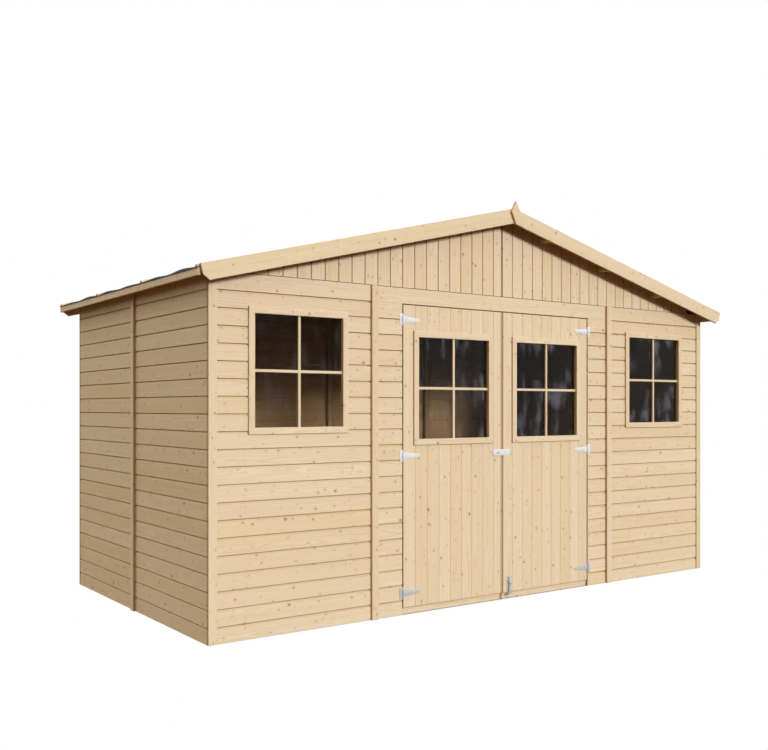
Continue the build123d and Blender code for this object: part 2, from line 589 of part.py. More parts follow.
# The rod with its knob, drawn clear of the keeper.
with BuildPart() as bolt_rod:
    with BuildSketch(Plane.XY.offset(ROD_FOOT)):
        with Locations((BOLT_X, BOLT_Y)):
            Circle(BOLT_R)
    extrude(amount=BOLT_FOOT + BOLT_ROD_TOP - ROD_FOOT)
    with BuildSketch(Plane.XZ.offset(-BOLT_Y)):
        with Locations((BOLT_X, BOLT_FOOT + BOLT_KNOB_RISE)):
            Circle(BOLT_KNOB_R)
    extrude(amount=BOLT_R + BOLT_KNOB_L)
bolt_rod.part.label = "bolt_rod"
export_step(bolt_rod.part, "parts/bolt_rod.step")

# An angle on the sill with a hole for the rod.
with BuildPart() as bolt_keeper:
    with BuildSketch(Plane.XZ.offset(FRAME_D)):
        with Locations((BOLT_X, (KEEPER_INSET + KEEPER_TOP) / 2)):
            Rectangle(KEEPER_W, KEEPER_TOP - KEEPER_INSET)
    extrude(amount=KEEPER_METAL)
    with BuildSketch(Plane.XY.offset(KEEPER_TOP - KEEPER_METAL)):
        with Locations((BOLT_X, -FRAME_D - KEEPER_REACH / 2)):
            Rectangle(KEEPER_W, KEEPER_REACH)
        with Locations((BOLT_X, BOLT_Y)):
            Circle(BOLT_R + KEEPER_FIT, mode=Mode.SUBTRACT)
    extrude(amount=KEEPER_METAL)
bolt_keeper.part.label = "bolt_keeper"
export_step(bolt_keeper.part, "parts/bolt_keeper.step")

# ================================================================ roof
for side_name, side in SIDES.items():
    with BuildPart() as roof_deck:
        with BuildSketch(Plane.XZ):
            with BuildLine():
                Polyline(*roof_strip(side, 0, EAVE_X, 0, DECK_RISE), close=True)
            make_face()
        extrude(amount=ROOF_D, both=True)
    roof_deck.part.label = f"roof_deck_{side_name}"
    export_step(roof_deck.part, f"parts/roof_deck_{side_name}.step")

    with BuildPart() as roof_felt:
        with BuildSketch(Plane.XZ):
            with BuildLine():
                Polyline(*roof_strip(side, 0, FELT_END, DECK_RISE, FELT_RISE), close=True)
            make_face()
        extrude(amount=ROOF_D, both=True)
    roof_felt.part.label = f"roof_felt_{side_name}"
    export_step(roof_felt.part, f"parts/roof_felt_{side_name}.step")

# Slats that hold the felt down, from the ridge to the eaves.
FELT_BATTEN_STEP = (2 * (ROOF_D - FELT_BATTEN_INSET) - FELT_BATTEN_W) / (FELT_BATTEN_COUNT - 1)
FELT_BATTEN_RISE = FELT_BATTEN_T / cos(PITCH)
FELT_TOP = DECK_RISE + FELT_RISE
with BuildPart() as felt_battens:
    for index in range(FELT_BATTEN_COUNT):
        batten_y = (index - (FELT_BATTEN_COUNT - 1) / 2) * FELT_BATTEN_STEP
        with BuildSketch(Plane.XZ.offset(-batten_y)):
            for side in SIDES.values():
                with BuildLine():
                    Polyline(
                        *roof_strip(side, FELT_BATTEN_GAP / 2, EAVE_X + FASCIA_T, FELT_TOP, FELT_BATTEN_RISE),
                        close=True,
                    )
                make_face()
        extrude(amount=FELT_BATTEN_W / 2, both=True)
felt_battens.part.label = "felt_battens"
export_step(felt_battens.part, "parts/felt_battens.step")

# Its top follows both slopes of the deck.
with BuildPart() as ridge_beam:
    with BuildSketch(Plane.XZ):
        with BuildLine():
            Polyline(
                (-RIDGE_BEAM_W / 2, RIDGE_Z - RIDGE_BEAM_H),
                (RIDGE_BEAM_W / 2, RIDGE_Z - RIDGE_BEAM_H),
                (RIDGE_BEAM_W / 2, under_deck(RIDGE_BEAM_W / 2)),
                (0, RIDGE_Z),
                (-RIDGE_BEAM_W / 2, under_deck(RIDGE_BEAM_W / 2)),
                close=True,
            )
        make_face()
    extrude(amount=ROOF_D, both=True)
ridge_beam.part.label = "ridge_beam"
export_step(ridge_beam.part, "parts/ridge_beam.step")

with BuildPart() as purlins:
    with BuildSketch(Plane.XZ):
        for side in SIDES.values():
            with Locations(*[purlin_centre(side, x) for x in PURLIN_X]):
                Rectangle(PURLIN_W, PURLIN_H, rotation=-side * PITCH_DEG)
    extrude(amount=ROOF_D, both=True)
purlins.part.label = "purlins"
export_step(purlins.part, "parts/purlins.step")

FASCIA_X = EAVE_X + FASCIA_T / 2
FASCIA_TOP = under_deck(EAVE_X + FASCIA_T) + DECK_RISE
with BuildPart() as eave_fascias:
    with Locations(*[(side * FASCIA_X, 0, FASCIA_TOP - FASCIA_H / 2) for side in SIDES.values()]):
        Box(FASCIA_T, 2 * ROOF_D, FASCIA_H)
eave_fascias.part.label = "eave_fascias"
export_step(eave_fascias.part, "parts/eave_fascias.step")

BARGE_LIFT = DECK_RISE + BARGE_RISE
BARGE_TIP_X = HALF_W + BARGE_END
BARGE_TIP_Z = under_deck(BARGE_TIP_X) + BARGE_LIFT
BARGE_BEVEL_X = BARGE_TIP_X - sin(PITCH) * (BARGE_W - BARGE_BEVEL_H)
BARGE_BEVEL_Z = BARGE_TIP_Z - cos(PITCH) * (BARGE_W - BARGE_BEVEL_H)
BARGE_FOOT_X = BARGE_TIP_X - sin(PITCH) * BARGE_W - cos(PITCH) * BARGE_BEVEL_L
for end_name, end in ENDS.items():
    # A pair of boards that meet at the peak, each with a bevelled lower corner.
    with BuildPart() as bargeboards:
        with BuildSketch(Plane.XZ.offset(-end * ROOF_D)):
            for side in SIDES.values():
                with BuildLine():
                    Polyline(
                        (side * BARGE_GAP, under_deck(BARGE_GAP) + BARGE_LIFT),
                        (side * BARGE_TIP_X, BARGE_TIP_Z),
                        (side * BARGE_BEVEL_X, BARGE_BEVEL_Z),
                        (side * BARGE_FOOT_X, under_deck(BARGE_FOOT_X) + BARGE_LIFT - BARGE_DROP),
                        (side * BARGE_GAP, under_deck(BARGE_GAP) + BARGE_LIFT - BARGE_DROP),
                        close=True,
                    )
                make_face()
        extrude(amount=-end * BARGE_T)
    bargeboards.part.label = f"{end_name}_bargeboards"
    export_step(bargeboards.part, f"parts/{end_name}_bargeboards.step")

# Kite-shaped boards over the joint of each pair.
FINIAL_FOOT = RIDGE_Z + BARGE_LIFT - BARGE_DROP - FINIAL_DROP
with BuildPart() as finials:
    for end in ENDS.values():
        with BuildSketch(Plane.XZ.offset(-end * (ROOF_D + BARGE_T))):
            with BuildLine():
                Polyline(
                    (0, FINIAL_FOOT),
                    (FINIAL_W / 2, FINIAL_FOOT + FINIAL_SHOULDER),
                    (0, FINIAL_FOOT + FINIAL_H),
                    (-FINIAL_W / 2, FINIAL_FOOT + FINIAL_SHOULDER),
                    close=True,
                )
            make_face()
        extrude(amount=-end * BARGE_T)
finials.part.label = "finials"
export_step(finials.part, "parts/finials.step")
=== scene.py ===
# %% [markdown]
# # A wooden garden shed
# The real shed is a kit: softwood panels of tongue-and-groove boards on a light frame, an
# apex roof of boards under felt, double doors on T hinges and four small windows. The CAD
# model gives every part its size and place. Here each board, bar and sheet is made again as
# a mesh with the joints, eased edges and finishes that the real one has.

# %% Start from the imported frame
import math
import random

import bmesh
import bpy
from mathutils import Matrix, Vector


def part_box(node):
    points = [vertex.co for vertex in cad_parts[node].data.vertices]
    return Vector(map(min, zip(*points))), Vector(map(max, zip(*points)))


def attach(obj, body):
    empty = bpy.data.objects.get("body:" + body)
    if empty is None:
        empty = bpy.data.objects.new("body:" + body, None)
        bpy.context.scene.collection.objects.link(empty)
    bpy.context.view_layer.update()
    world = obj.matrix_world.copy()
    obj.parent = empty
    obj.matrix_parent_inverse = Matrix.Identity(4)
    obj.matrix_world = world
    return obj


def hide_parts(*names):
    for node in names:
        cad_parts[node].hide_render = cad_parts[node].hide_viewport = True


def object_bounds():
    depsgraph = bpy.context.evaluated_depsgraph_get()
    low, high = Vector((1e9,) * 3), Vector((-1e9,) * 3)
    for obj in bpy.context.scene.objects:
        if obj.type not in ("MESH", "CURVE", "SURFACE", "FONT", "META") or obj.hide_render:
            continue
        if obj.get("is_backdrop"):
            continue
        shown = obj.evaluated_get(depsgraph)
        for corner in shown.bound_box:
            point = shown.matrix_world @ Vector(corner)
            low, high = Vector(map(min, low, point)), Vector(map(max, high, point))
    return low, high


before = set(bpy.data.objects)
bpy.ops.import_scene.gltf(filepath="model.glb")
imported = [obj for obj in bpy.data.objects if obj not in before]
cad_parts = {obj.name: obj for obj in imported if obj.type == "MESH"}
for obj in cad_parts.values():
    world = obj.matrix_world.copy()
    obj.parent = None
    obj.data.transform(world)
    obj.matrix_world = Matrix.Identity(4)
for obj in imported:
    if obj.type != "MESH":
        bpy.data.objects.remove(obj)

MM = 0.001
cad_low, cad_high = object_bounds()

# %% [markdown]
# ## Camera
# A shed is best shown from a front corner at eye height, so that the doors, one side and
# the overhang of the roof are all seen. A camera that tilts to take in the roof makes the
# walls lean. This one stays level, which keeps the corners upright, and a small lens shift
# lifts the view instead.

# %% Place the camera
LENS = 44.13
SENSOR_W = 36.0
LENS_SHIFT = 0.0426
STAND = (-3.919, -5.253, 1.168)
TURN = -35.46
LEVEL = 90.0

camera_data = bpy.data.cameras.new("corner_camera")
camera_data.sensor_fit = "HORIZONTAL"
camera_data.sensor_width = SENSOR_W
camera_data.lens = LENS
camera_data.shift_y = LENS_SHIFT
camera = bpy.data.objects.new("corner_camera", camera_data)
camera.location = STAND
camera.rotation_euler = (math.radians(LEVEL), 0, math.radians(TURN))
bpy.context.scene.collection.objects.link(camera)
bpy.context.scene.camera = camera
print("camera stands", [round(v, 2) for v in STAND])

# %% [markdown]
# ## Key light
# The shed stands in a low, soft sun, a little to the right of the front. A lamp near by would
# light one end of the wall more than the other, and a sun lights all of it alike. Its wide
# angle gives the shadows under the eaves a soft edge. The panes would mirror it as a bright
# disc, so glossy rays don't see it.

# %% Key light
KEY_SIDE = 12.0
KEY_HEIGHT = 12.0
KEY_SPREAD = 11.0
KEY_POWER = 2.95
KEY_COLOUR = (0.855, 0.905, 1.0)

key_data = bpy.data.lights.new("key", "SUN")
key_data.energy = KEY_POWER
key_data.angle = math.radians(KEY_SPREAD)
key_data.color = KEY_COLOUR
key = bpy.data.objects.new("key", key_data)
key.rotation_euler = (math.radians(LEVEL - KEY_HEIGHT), 0, math.radians(KEY_SIDE))
bpy.context.scene.collection.objects.link(key)
key.visible_glossy = False

bpy.context.scene.view_settings.view_transform = "Standard"
print("key", KEY_POWER, "from", KEY_HEIGHT, "degrees above the ground")

# %% [markdown]
# ## Helpers for nodes
# A finish is a tree of nodes, and so are the surroundings. They could be wired up by hand in
# the node editor, but in code a tree reads from top to bottom, and a recipe can be used again
# with other numbers. `put` adds any node and `feed` fills its sockets, `calc` and `vectors` do
# sums, `tint` lays one colour on another, `fit` maps a range to a range, and `noise` and
# `speckles` make patterns, which `bumps` can turn into relief.

# %% Helpers for nodes
def feed(node, inputs):
    """Fills each input of a node with a value, or links it to a socket."""
    for socket, value in inputs.items():
        if isinstance(value, bpy.types.NodeSocket):
            node.id_data.links.new(value, node.inputs[socket])
        else:
            node.inputs[socket].default_value = value


def put(tree, kind, inputs=None, **settings):
    """Adds a node, sets its options and feeds its inputs."""
    made = tree.nodes.new(kind)
    for option, value in settings.items():
        setattr(made, option, value)
    feed(made, inputs or {})
    return made


def calc(tree, operation, *values):
    """One sum on numbers."""
    return put(tree, "ShaderNodeMath", dict(enumerate(values)), operation=operation).outputs[0]


# A mix node has sockets for numbers, vectors and colours. These are the colour ones.
MIX_A, MIX_B, MIX_COLOUR = 6, 7, 2


def tint(tree, share, under, over, way="MIX"):
    """Lays the colour `over` on the colour `under` by a share from 0 to 1."""
    sockets = {0: share, MIX_A: under, MIX_B: over}
    made = put(tree, "ShaderNodeMix", sockets, data_type="RGBA", blend_type=way)
    return made.outputs[MIX_COLOUR]


def fit(tree, value, low, high, to_low=0.0, to_high=1.0, how="SMOOTHSTEP"):
    """Maps low..high to to_low..to_high and holds it there."""
    sockets = {"Value": value, "From Min": low, "From Max": high}
    sockets.update({"To Min": to_low, "To Max": to_high})
    made = put(tree, "ShaderNodeMapRange", sockets, interpolation_type=how, clamp=True)
    return made.outputs["Result"]


def vectors(tree, operation, first, second):
    """One sum on vectors."""
    return put(tree, "ShaderNodeVectorMath", {0: first, 1: second}, operation=operation).outputs[0]


# %% Helpers for patterns
def noise(tree, where, scale, detail, **more):
    """A cloudy pattern in three dimensions."""
    sockets = {"Vector": where, "Scale": scale, "Detail": detail, **more}
    return put(tree, "ShaderNodeTexNoise", sockets)


def speckles(tree, where, scale):
    """Small cells: a tone for each cell, and the distance from its middle."""
    grid = put(tree, "ShaderNodeTexVoronoi", {"Vector": where, "Scale": scale, "Randomness": 1.0})
    tones = put(tree, "ShaderNodeSeparateColor", {0: grid.outputs["Color"]}).outputs
    return tones["Red"], grid.outputs["Distance"]


def bumps(tree, pattern, high, strength=1.0, **more):
    """Relief from a pattern: `high` metres where the pattern is 1."""
    sockets = {"Height": pattern, "Distance": high, "Strength": strength, **more}
    return put(tree, "ShaderNodeBump", sockets).outputs["Normal"]


# %% [markdown]
# ## Surroundings
# The sky is even, a little brighter towards the back, over dark ground that throws back some
# warm light, so that the underside of the roof stays dark and brown. A picture of a sky could
# light the shed as well, but colours that change with height are easier to adjust. Window
# panes mirror a line of trees: dark, with pale upright gaps, and with mist between the trees
# to one side. For the eye of the camera the surroundings are plain white.

# %% Sky and ground that light the shed
SKY_LOW, SKY_HIGH = (1.0, 0.915, 0.785, 1), (1.03, 1.07, 1.02, 1)
SKY_FROM, SKY_TO = 0.0, 0.6
BACK_SHARE = 0.7
GROUND_GLOW = (0.085, 0.05, 0.018, 1)
HORIZON_BLUR = 0.03

world = bpy.data.worlds.new("studio")
world.use_nodes = True
bpy.context.scene.world = world
sky = world.node_tree
sky.nodes.clear()
direction = put(sky, "ShaderNodeTexCoord").outputs["Generated"]
parts = put(sky, "ShaderNodeSeparateXYZ", {0: direction}).outputs
height = parts["Z"]
above = tint(sky, fit(sky, height, SKY_FROM, SKY_TO, how="LINEAR"), SKY_LOW, SKY_HIGH)
glow = tint(sky, fit(sky, height, -HORIZON_BLUR, HORIZON_BLUR), GROUND_GLOW, above)
towards_back = fit(sky, parts["Y"], -1.0, 1.0, 1 - BACK_SHARE, 1 + BACK_SHARE, "LINEAR")
glow = put(sky, "ShaderNodeVectorMath", {0: glow, "Scale": towards_back}, operation="SCALE")
glow = glow.outputs[0]
print("sky and ground", len(sky.nodes), "nodes")

# %% Trees and grass that the panes mirror
TREES_DARK, TREES_PALE = (0.035, 0.034, 0.030, 1), (1.3, 1.4, 1.65, 1)
TREES_MIST = (0.16, 0.20, 0.22, 1)
MIST_FROM, MIST_TO = 0.5, 0.66
DENSE_WOOD = 0.3
HORIZON_MIRRORED = -0.06
TREES_FROM, TREES_TO = 0.2, 0.4
GRASS = (0.2, 0.14, 0.085, 1)
TRUNKS = (125.0, 125.0, 34.0)
TRUNK_DETAIL = 3.0
GAPS_FROM, GAPS_TO = 0.5, 0.72

upright = vectors(sky, "MULTIPLY", direction, TRUNKS)
gaps = fit(sky, noise(sky, upright, 1.0, TRUNK_DETAIL).outputs["Fac"], GAPS_FROM, GAPS_TO)
mist = fit(sky, parts["X"], MIST_FROM, MIST_TO)
trunks = tint(sky, mist, TREES_DARK, TREES_MIST)
open_air = calc(sky, "MULTIPLY", gaps, fit(sky, mist, 0.0, 1.0, DENSE_WOOD, 1.0))
trees = tint(sky, open_air, trunks, TREES_PALE)
mirrored = tint(sky, fit(sky, height, TREES_FROM, TREES_TO), trees, above)
grass_line = fit(sky, height, HORIZON_MIRRORED - HORIZON_BLUR, HORIZON_MIRRORED + HORIZON_BLUR)
mirrored = tint(sky, grass_line, GRASS, mirrored)
print("with trees and grass", len(sky.nodes), "nodes")

# %% Which ray sees which surroundings
WHITE = (1, 1, 1, 1)

rays = put(sky, "ShaderNodeLightPath").outputs
around = tint(sky, rays["Is Glossy Ray"], glow, mirrored)
soft = put(sky, "ShaderNodeBackground", {"Color": around}).outputs[0]
plain = put(sky, "ShaderNodeBackground", {"Color": WHITE, "Strength": 1.0}).outputs[0]
both = put(sky, "ShaderNodeMixShader", {0: rays["Is Camera Ray"], 1: soft, 2: plain})
put(sky, "ShaderNodeOutputWorld", {"Surface": both.outputs[0]})
print("surroundings", len(sky.nodes), "nodes")

# %% [markdown]
# ## Floor
# The floor is plain and white. An ordinary white plane would turn grey where the walls keep
# the light off it, so this one glows evenly. It is a frame round the walls, so that the
# ground inside the shed can be an ordinary pale surface that stays in the dark.

# %% Floor outside and ground inside
FLOOR_REACH = 40.0
FLOOR_DROP = 0.5 * MM


def flat_sheet(name, rings):
    """A level sheet of quads from lists of corners."""
    bm = bmesh.new()
    for ring in rings:
        bm.faces.new([bm.verts.new((x, y, -FLOOR_DROP)) for x, y in ring])
    mesh = bpy.data.meshes.new(name)
    bm.to_mesh(mesh)
    bm.free()
    made = bpy.data.objects.new(name, mesh)
    bpy.context.scene.collection.objects.link(made)
    made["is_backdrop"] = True
    return made


wall_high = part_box("back_wall")[1]
side_x = wall_high.x
front_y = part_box("front_wall_left")[0].y
back_y = wall_high.y
far = FLOOR_REACH
inner = [(-side_x, front_y), (side_x, front_y), (side_x, back_y), (-side_x, back_y)]
outer = [(-far, -far), (far, -far), (far, far), (-far, far)]
turns = [(0, 1), (1, 2), (2, 3), (3, 0)]
floor = flat_sheet("floor", [(outer[a], outer[b], inner[b], inner[a]) for a, b in turns])
ground = flat_sheet("ground_inside", [inner])

# %% Floor finishes
GROUND_PALE = (0.42, 0.40, 0.36, 1)


def new_finish(name):
    """A material, the tree of nodes in it, and its main shader."""
    made = bpy.data.materials.new(name)
    made.use_nodes = True
    return made, made.node_tree, made.node_tree.nodes["Principled BSDF"]


floor_finish = bpy.data.materials.new("floor_white")
floor_finish.use_nodes = True
paper = floor_finish.node_tree
paper.nodes.clear()
lit = put(paper, "ShaderNodeEmission", {"Color": WHITE, "Strength": 1.0})
put(paper, "ShaderNodeOutputMaterial", {"Surface": lit.outputs[0]})
floor.data.materials.append(floor_finish)
floor.visible_diffuse = False
floor.visible_glossy = False
floor.visible_transmission = False
floor.visible_shadow = False
ground_finish, tree, shader = new_finish("ground_pale")
shader.inputs["Base Color"].default_value = GROUND_PALE
ground.data.materials.append(ground_finish)
print("floor reaches", far, "m")

# %% [markdown]
# ## How planed pine is made
# A board is sawn from a trunk, so its figure is a slice through rings round a pith that
# lies outside the board. A flat pattern laid on each face would repeat, and it would stop at
# the edges. Here every board carries its own coordinates instead: metres along the grain,
# across the face, and through the thickness, measured from a pith of its own. Rings, streaks
# and knots are drawn from those numbers, so no two boards match, the figure runs on over the
# edges, and the cut ends show arcs. Colours are written as on a paint card, from 0 to 255,
# and turned into the light values that a shader works with.

# %% Colours from a paint card
CARD = 255.0
TOE, TOE_SLOPE, BULK, BULK_LIFT, GAMMA = 0.04045, 12.92, 1.055, 0.055, 2.4


def card(red, green, blue):
    """A colour from the card, turned into light values for a shader."""
    def light(part):
        share = part / CARD
        return share / TOE_SLOPE if share <= TOE else ((share + BULK_LIFT) / BULK) ** GAMMA
    return (light(red), light(green), light(blue), 1.0)


print("half of the card's white is", round(card(*[CARD / 2] * 3)[0], 3), "of its light")

# %% [markdown]
# ## Knots
# A knot is a branch cut across: a brown core, a darker rim, and rings that swell round it.
# Knots could be painted one by one, but there are hundreds. A Voronoi texture puts one point
# into each cell of a grid instead, and a random share of the points is kept. Thick branches
# and thin twigs have a grid each.

# %% Knots
BRANCHES = dict(cells=10.5, share=0.6, small=2.8 * MM, large=7.6 * MM)
TWIGS = dict(cells=17.0, share=0.38, small=1.4 * MM, large=4.2 * MM)
KNOTS_APART = 0.8
MORE_SMALL = 1.6
FAINTEST = 0.35
KNOT_RIM = 3.0 * MM
KNOT_CORE = -1.5 * KNOT_RIM
KNOT_HALO = 14 * MM


def knots(tree, grain, cells, share, small, large):
    """Branches cut across: one in each cell of a grid, and only a share of them kept."""
    lengths = vectors(tree, "MULTIPLY", grain, (KNOTS_APART * cells, cells, 0))
    grid = put(tree, "ShaderNodeTexVoronoi", {"Vector": lengths, "Scale": 1.0, "Randomness": 1.0},
               voronoi_dimensions="2D")
    reach = calc(tree, "DIVIDE", grid.outputs["Distance"], cells)
    luck = put(tree, "ShaderNodeSeparateColor", {0: grid.outputs["Color"]}).outputs
    girth = calc(tree, "POWER", luck["Green"], MORE_SMALL)
    edge = calc(tree, "SUBTRACT", reach, fit(tree, girth, 0.0, 1.0, small, large, "LINEAR"))
    kept = calc(tree, "MULTIPLY", calc(tree, "LESS_THAN", luck["Red"], share),
                fit(tree, luck["Blue"], 0.0, 1.0, FAINTEST, 1.0, "LINEAR"))
    knot = calc(tree, "MULTIPLY", kept, fit(tree, edge, KNOT_RIM / 2, -KNOT_RIM / 2))
    core = calc(tree, "MULTIPLY", kept, fit(tree, edge, -KNOT_RIM / 2, KNOT_CORE))
    halo = calc(tree, "MULTIPLY", kept, fit(tree, edge, KNOT_HALO, 0.0))
    return knot, core, halo


# %% [markdown]
# ## The wood finish
# The colour starts from the tone of the board and is darkened in layers: streaks, broad
# bands, winter lines, fibres, knots and cut ends. Last comes a brown for raw backs, which is
# also painted shade on edges, hollows and tongues. The same patterns drive the relief and the
# gloss, because on real wood a hard winter line is dark and raised at once. Two materials
# built apart would drift apart with every change, so planed and sawn pine are one recipe with
# two sets of numbers.

# %% Patterns in the wood
STREAKS = dict(along=1.1, across=42.0, detail=3.0, roughness=0.6)
BANDS = dict(along=0.7, across=7.0, detail=2.0)
FIBRES = dict(along=30.0, across=1100.0, detail=2.0, roughness=0.6)
SAW_TEETH = dict(along=260.0, across=12.0, detail=1.0)


def stretched(tree, grain, along, across, detail, roughness=0.5):
    """A noise drawn out along the grain: low `along` and high `across` make long fibres."""
    scaled = vectors(tree, "MULTIPLY", grain, (along, across, across))
    return noise(tree, scaled, 1.0, detail, Roughness=roughness)


def tone_card(tree, share, tones):
    """A ramp of tones, evenly spaced, read at a share from 0 to 1."""
    stops = put(tree, "ShaderNodeValToRGB", {0: share})
    stops.color_ramp.elements[0].color = tones[0]
    stops.color_ramp.elements[1].color = tones[-1]
    for index, tone in enumerate(tones[1:-1], start=1):
        stops.color_ramp.elements.new(index / (len(tones) - 1)).color = tone
    return stops.outputs["Color"]


# %% Rings
RING_STEP = 3.4 * MM
RING_BULGE = 5 * MM
WANDER = 11.0 * MM
DRIFT = dict(along=1.6, across=9.0, detail=2.0)
WOBBLE = dict(along=4.0, across=60.0, detail=2.0)
WINTER_FROM, WINTER_FULL, WINTER_ENDS = 0.35, 0.93, 0.95


def ring_radius(tree, grain):
    """Distance from the pith. The trunk isn't straight, so the rings drift across the board."""
    drift = stretched(tree, grain, **DRIFT).outputs["Color"]
    drift = vectors(tree, "SUBTRACT", drift, (0.5, 0.5, 0.5))
    drift = vectors(tree, "MULTIPLY", drift, (0, WANDER * 2, WANDER * 2))
    apart = put(tree, "ShaderNodeSeparateXYZ", {0: vectors(tree, "ADD", grain, drift)}).outputs
    squares = [calc(tree, "POWER", apart[axis], 2.0) for axis in ("Y", "Z")]
    return calc(tree, "SQRT", calc(tree, "ADD", *squares))


def winter_lines(tree, grain, halo):
    """Pale early wood that darkens towards each winter line, and bends round knots."""
    wobble = stretched(tree, grain, **WOBBLE).outputs["Fac"]
    pushed = calc(tree, "ADD", ring_radius(tree, grain), calc(tree, "MULTIPLY", halo, RING_BULGE))
    phase = calc(tree, "ADD", calc(tree, "DIVIDE", pushed, RING_STEP), wobble)
    ring = calc(tree, "FRACT", phase)
    return calc(tree, "MULTIPLY", fit(tree, ring, WINTER_FROM, WINTER_FULL),
                fit(tree, ring, 1.0, WINTER_ENDS))


# %% One recipe for pine
# The brown of raw backs, laid also as painted shade on edges, hollows and tongues.
RAW_AND_SHADE_CAST = (0.71, 0.53, 0.36, 1)
STREAK_FROM, STREAK_TO = 0.3, 0.7
BAND_FROM, BAND_TO, BAND_SHARE = 0.35, 0.7, 0.7
FIBRE_FROM, FIBRE_TO, FIBRE_SHARE = 0.35, 0.75, 0.16
END_FIGURE, END_SHARE = 2.2, 0.3
HALO_SHARE, RIM_SHARE, CORE_SHARE = 0.16, 0.8, 0.75
GLOSS_FROM, GLOSS_TO = 0.2, 0.8
SMOOTHER, ROUGHER, KNOT_POLISH = -0.06, 0.08, -0.12
WOOD_GLOSS = 0.32
WINTER_RELIEF, FIBRE_RELIEF, BAND_RELIEF, KNOT_DIP = 0.05, 0.05, 0.5, 0.12


def pine(name, tones, late, knot_core, knot_rim, figure, spread, roughness, saw_marks, raw_and_shade):
    """A softwood finish. `tones` are the colours that boards come in."""
    finish, tree, shader = new_finish(name)
    grain = put(tree, "ShaderNodeAttribute", attribute_name="grain_at").outputs["Vector"]
    board, end, unplaned_and_shaded = (
        put(tree, "ShaderNodeAttribute", attribute_name=mark).outputs["Fac"]
        for mark in ("board", "end_cut", "raw_and_shade")
    )
    large_ones, small_ones = knots(tree, grain, **BRANCHES), knots(tree, grain, **TWIGS)
    knot, core, halo = (calc(tree, "MAXIMUM", *pair) for pair in zip(large_ones, small_ones))
    winter = winter_lines(tree, grain, halo)
    streak, band, fibre = (
        stretched(tree, grain, **kind).outputs["Fac"] for kind in (STREAKS, BANDS, FIBRES)
    )

    # Colour, laid on in layers.
    strength = fit(tree, end, 0.0, 1.0, figure, figure * END_FIGURE, "LINEAR")
    fibre_shade = fit(tree, fibre, FIBRE_FROM, FIBRE_TO)
    layers = [
        (fit(tree, streak, STREAK_FROM, STREAK_TO, 0.0, spread, "LINEAR"), late),
        (fit(tree, band, BAND_FROM, BAND_TO, 0.0, spread * BAND_SHARE, "LINEAR"), late),
        (calc(tree, "MULTIPLY", winter, strength), late),
        (calc(tree, "MULTIPLY", fibre_shade, FIBRE_SHARE), late),
        (calc(tree, "MULTIPLY", halo, HALO_SHARE), late),
        (calc(tree, "MULTIPLY", knot, RIM_SHARE), knot_rim),
        (calc(tree, "MULTIPLY", core, CORE_SHARE), knot_core),
        (calc(tree, "MULTIPLY", end, END_SHARE), late),
    ]
    colour = tone_card(tree, board, tones)
    for share, over in layers:
        colour = tint(tree, share, colour, over)
    # Raw backs turn browner, and edges, hollows and tongues get the same brown as painted shade.
    colour = tint(tree, calc(tree, "MULTIPLY", unplaned_and_shaded, raw_and_shade), colour, RAW_AND_SHADE_CAST, "MULTIPLY")

    # Gloss and relief.
    least, most = roughness + SMOOTHER, roughness + ROUGHER
    rough = fit(tree, streak, GLOSS_FROM, GLOSS_TO, least, most, "LINEAR")
    rough = calc(tree, "ADD", rough, calc(tree, "MULTIPLY", knot, KNOT_POLISH))
    heights = [(fibre, FIBRE_RELIEF + saw_marks), (band, BAND_RELIEF), (knot, -KNOT_DIP)]
    if saw_marks:
        heights.append((stretched(tree, grain, **SAW_TEETH).outputs["Fac"], saw_marks * 2))
    relief = calc(tree, "MULTIPLY", winter, WINTER_RELIEF)
    for pattern, depth in heights:
        relief = calc(tree, "ADD", relief, calc(tree, "MULTIPLY", pattern, depth))
    feed(shader, {
        "Base Color": colour,
        "Roughness": rough,
        "Specular IOR Level": WOOD_GLOSS,
        "Normal": bumps(tree, relief, MM),
    })
    print("finish", name, len(tree.nodes), "nodes")
    return finish


# %% Planed pine and sawn pine
planed_pine = pine(
    "planed_pine_boards",
    tones=(card(231, 207, 169), card(235, 212, 177), card(232, 207, 172), card(230, 205, 164)),
    late=card(198, 156, 108),
    knot_core=card(176, 138, 96),
    knot_rim=card(150, 112, 74),
    figure=0.25,
    spread=0.13,
    roughness=0.62,
    saw_marks=0.0,
    raw_and_shade=0.8,
)
sawn_pine = pine(
    "sawn_pine_timber",
    tones=(card(206, 172, 128), card(214, 182, 140), card(200, 164, 122)),
    late=card(160, 112, 66),
    knot_core=card(130, 84, 48),
    knot_rim=card(96, 60, 34),
    figure=0.34,
    spread=0.3,
    roughness=0.78,
    saw_marks=0.16,
    raw_and_shade=0.2,
)

# %% [markdown]
# ## From corners to boards
# Most of the shed is prisms: a section, such as the profile that a moulding machine cuts,
# pushed along a line. Scaled cubes would be quicker, but they have no profile. The first
# helper makes a prism, and the next ones tell the boards of one mesh apart and measure them.

# %% Prisms and separate boards
AXES = (Vector((1, 0, 0)), Vector((0, 1, 0)), Vector((0, 0, 1)))
EAST, NORTH, UP = AXES


def add_prism(bm, section, place, start, end):
    """Pushes a section from start to end. place(a, b, s) puts its corner a, b at s."""
    def stop(limit, corner):
        return limit(*corner) if callable(limit) else limit
    near = [bm.verts.new(place(*corner, stop(start, corner))) for corner in section]
    far_ring = [bm.verts.new(place(*corner, stop(end, corner))) for corner in section]
    bm.faces.new(near)
    bm.faces.new(list(reversed(far_ring)))
    for index in range(len(section)):
        after = (index + 1) % len(section)
        bm.faces.new((near[after], near[index], far_ring[index], far_ring[after]))


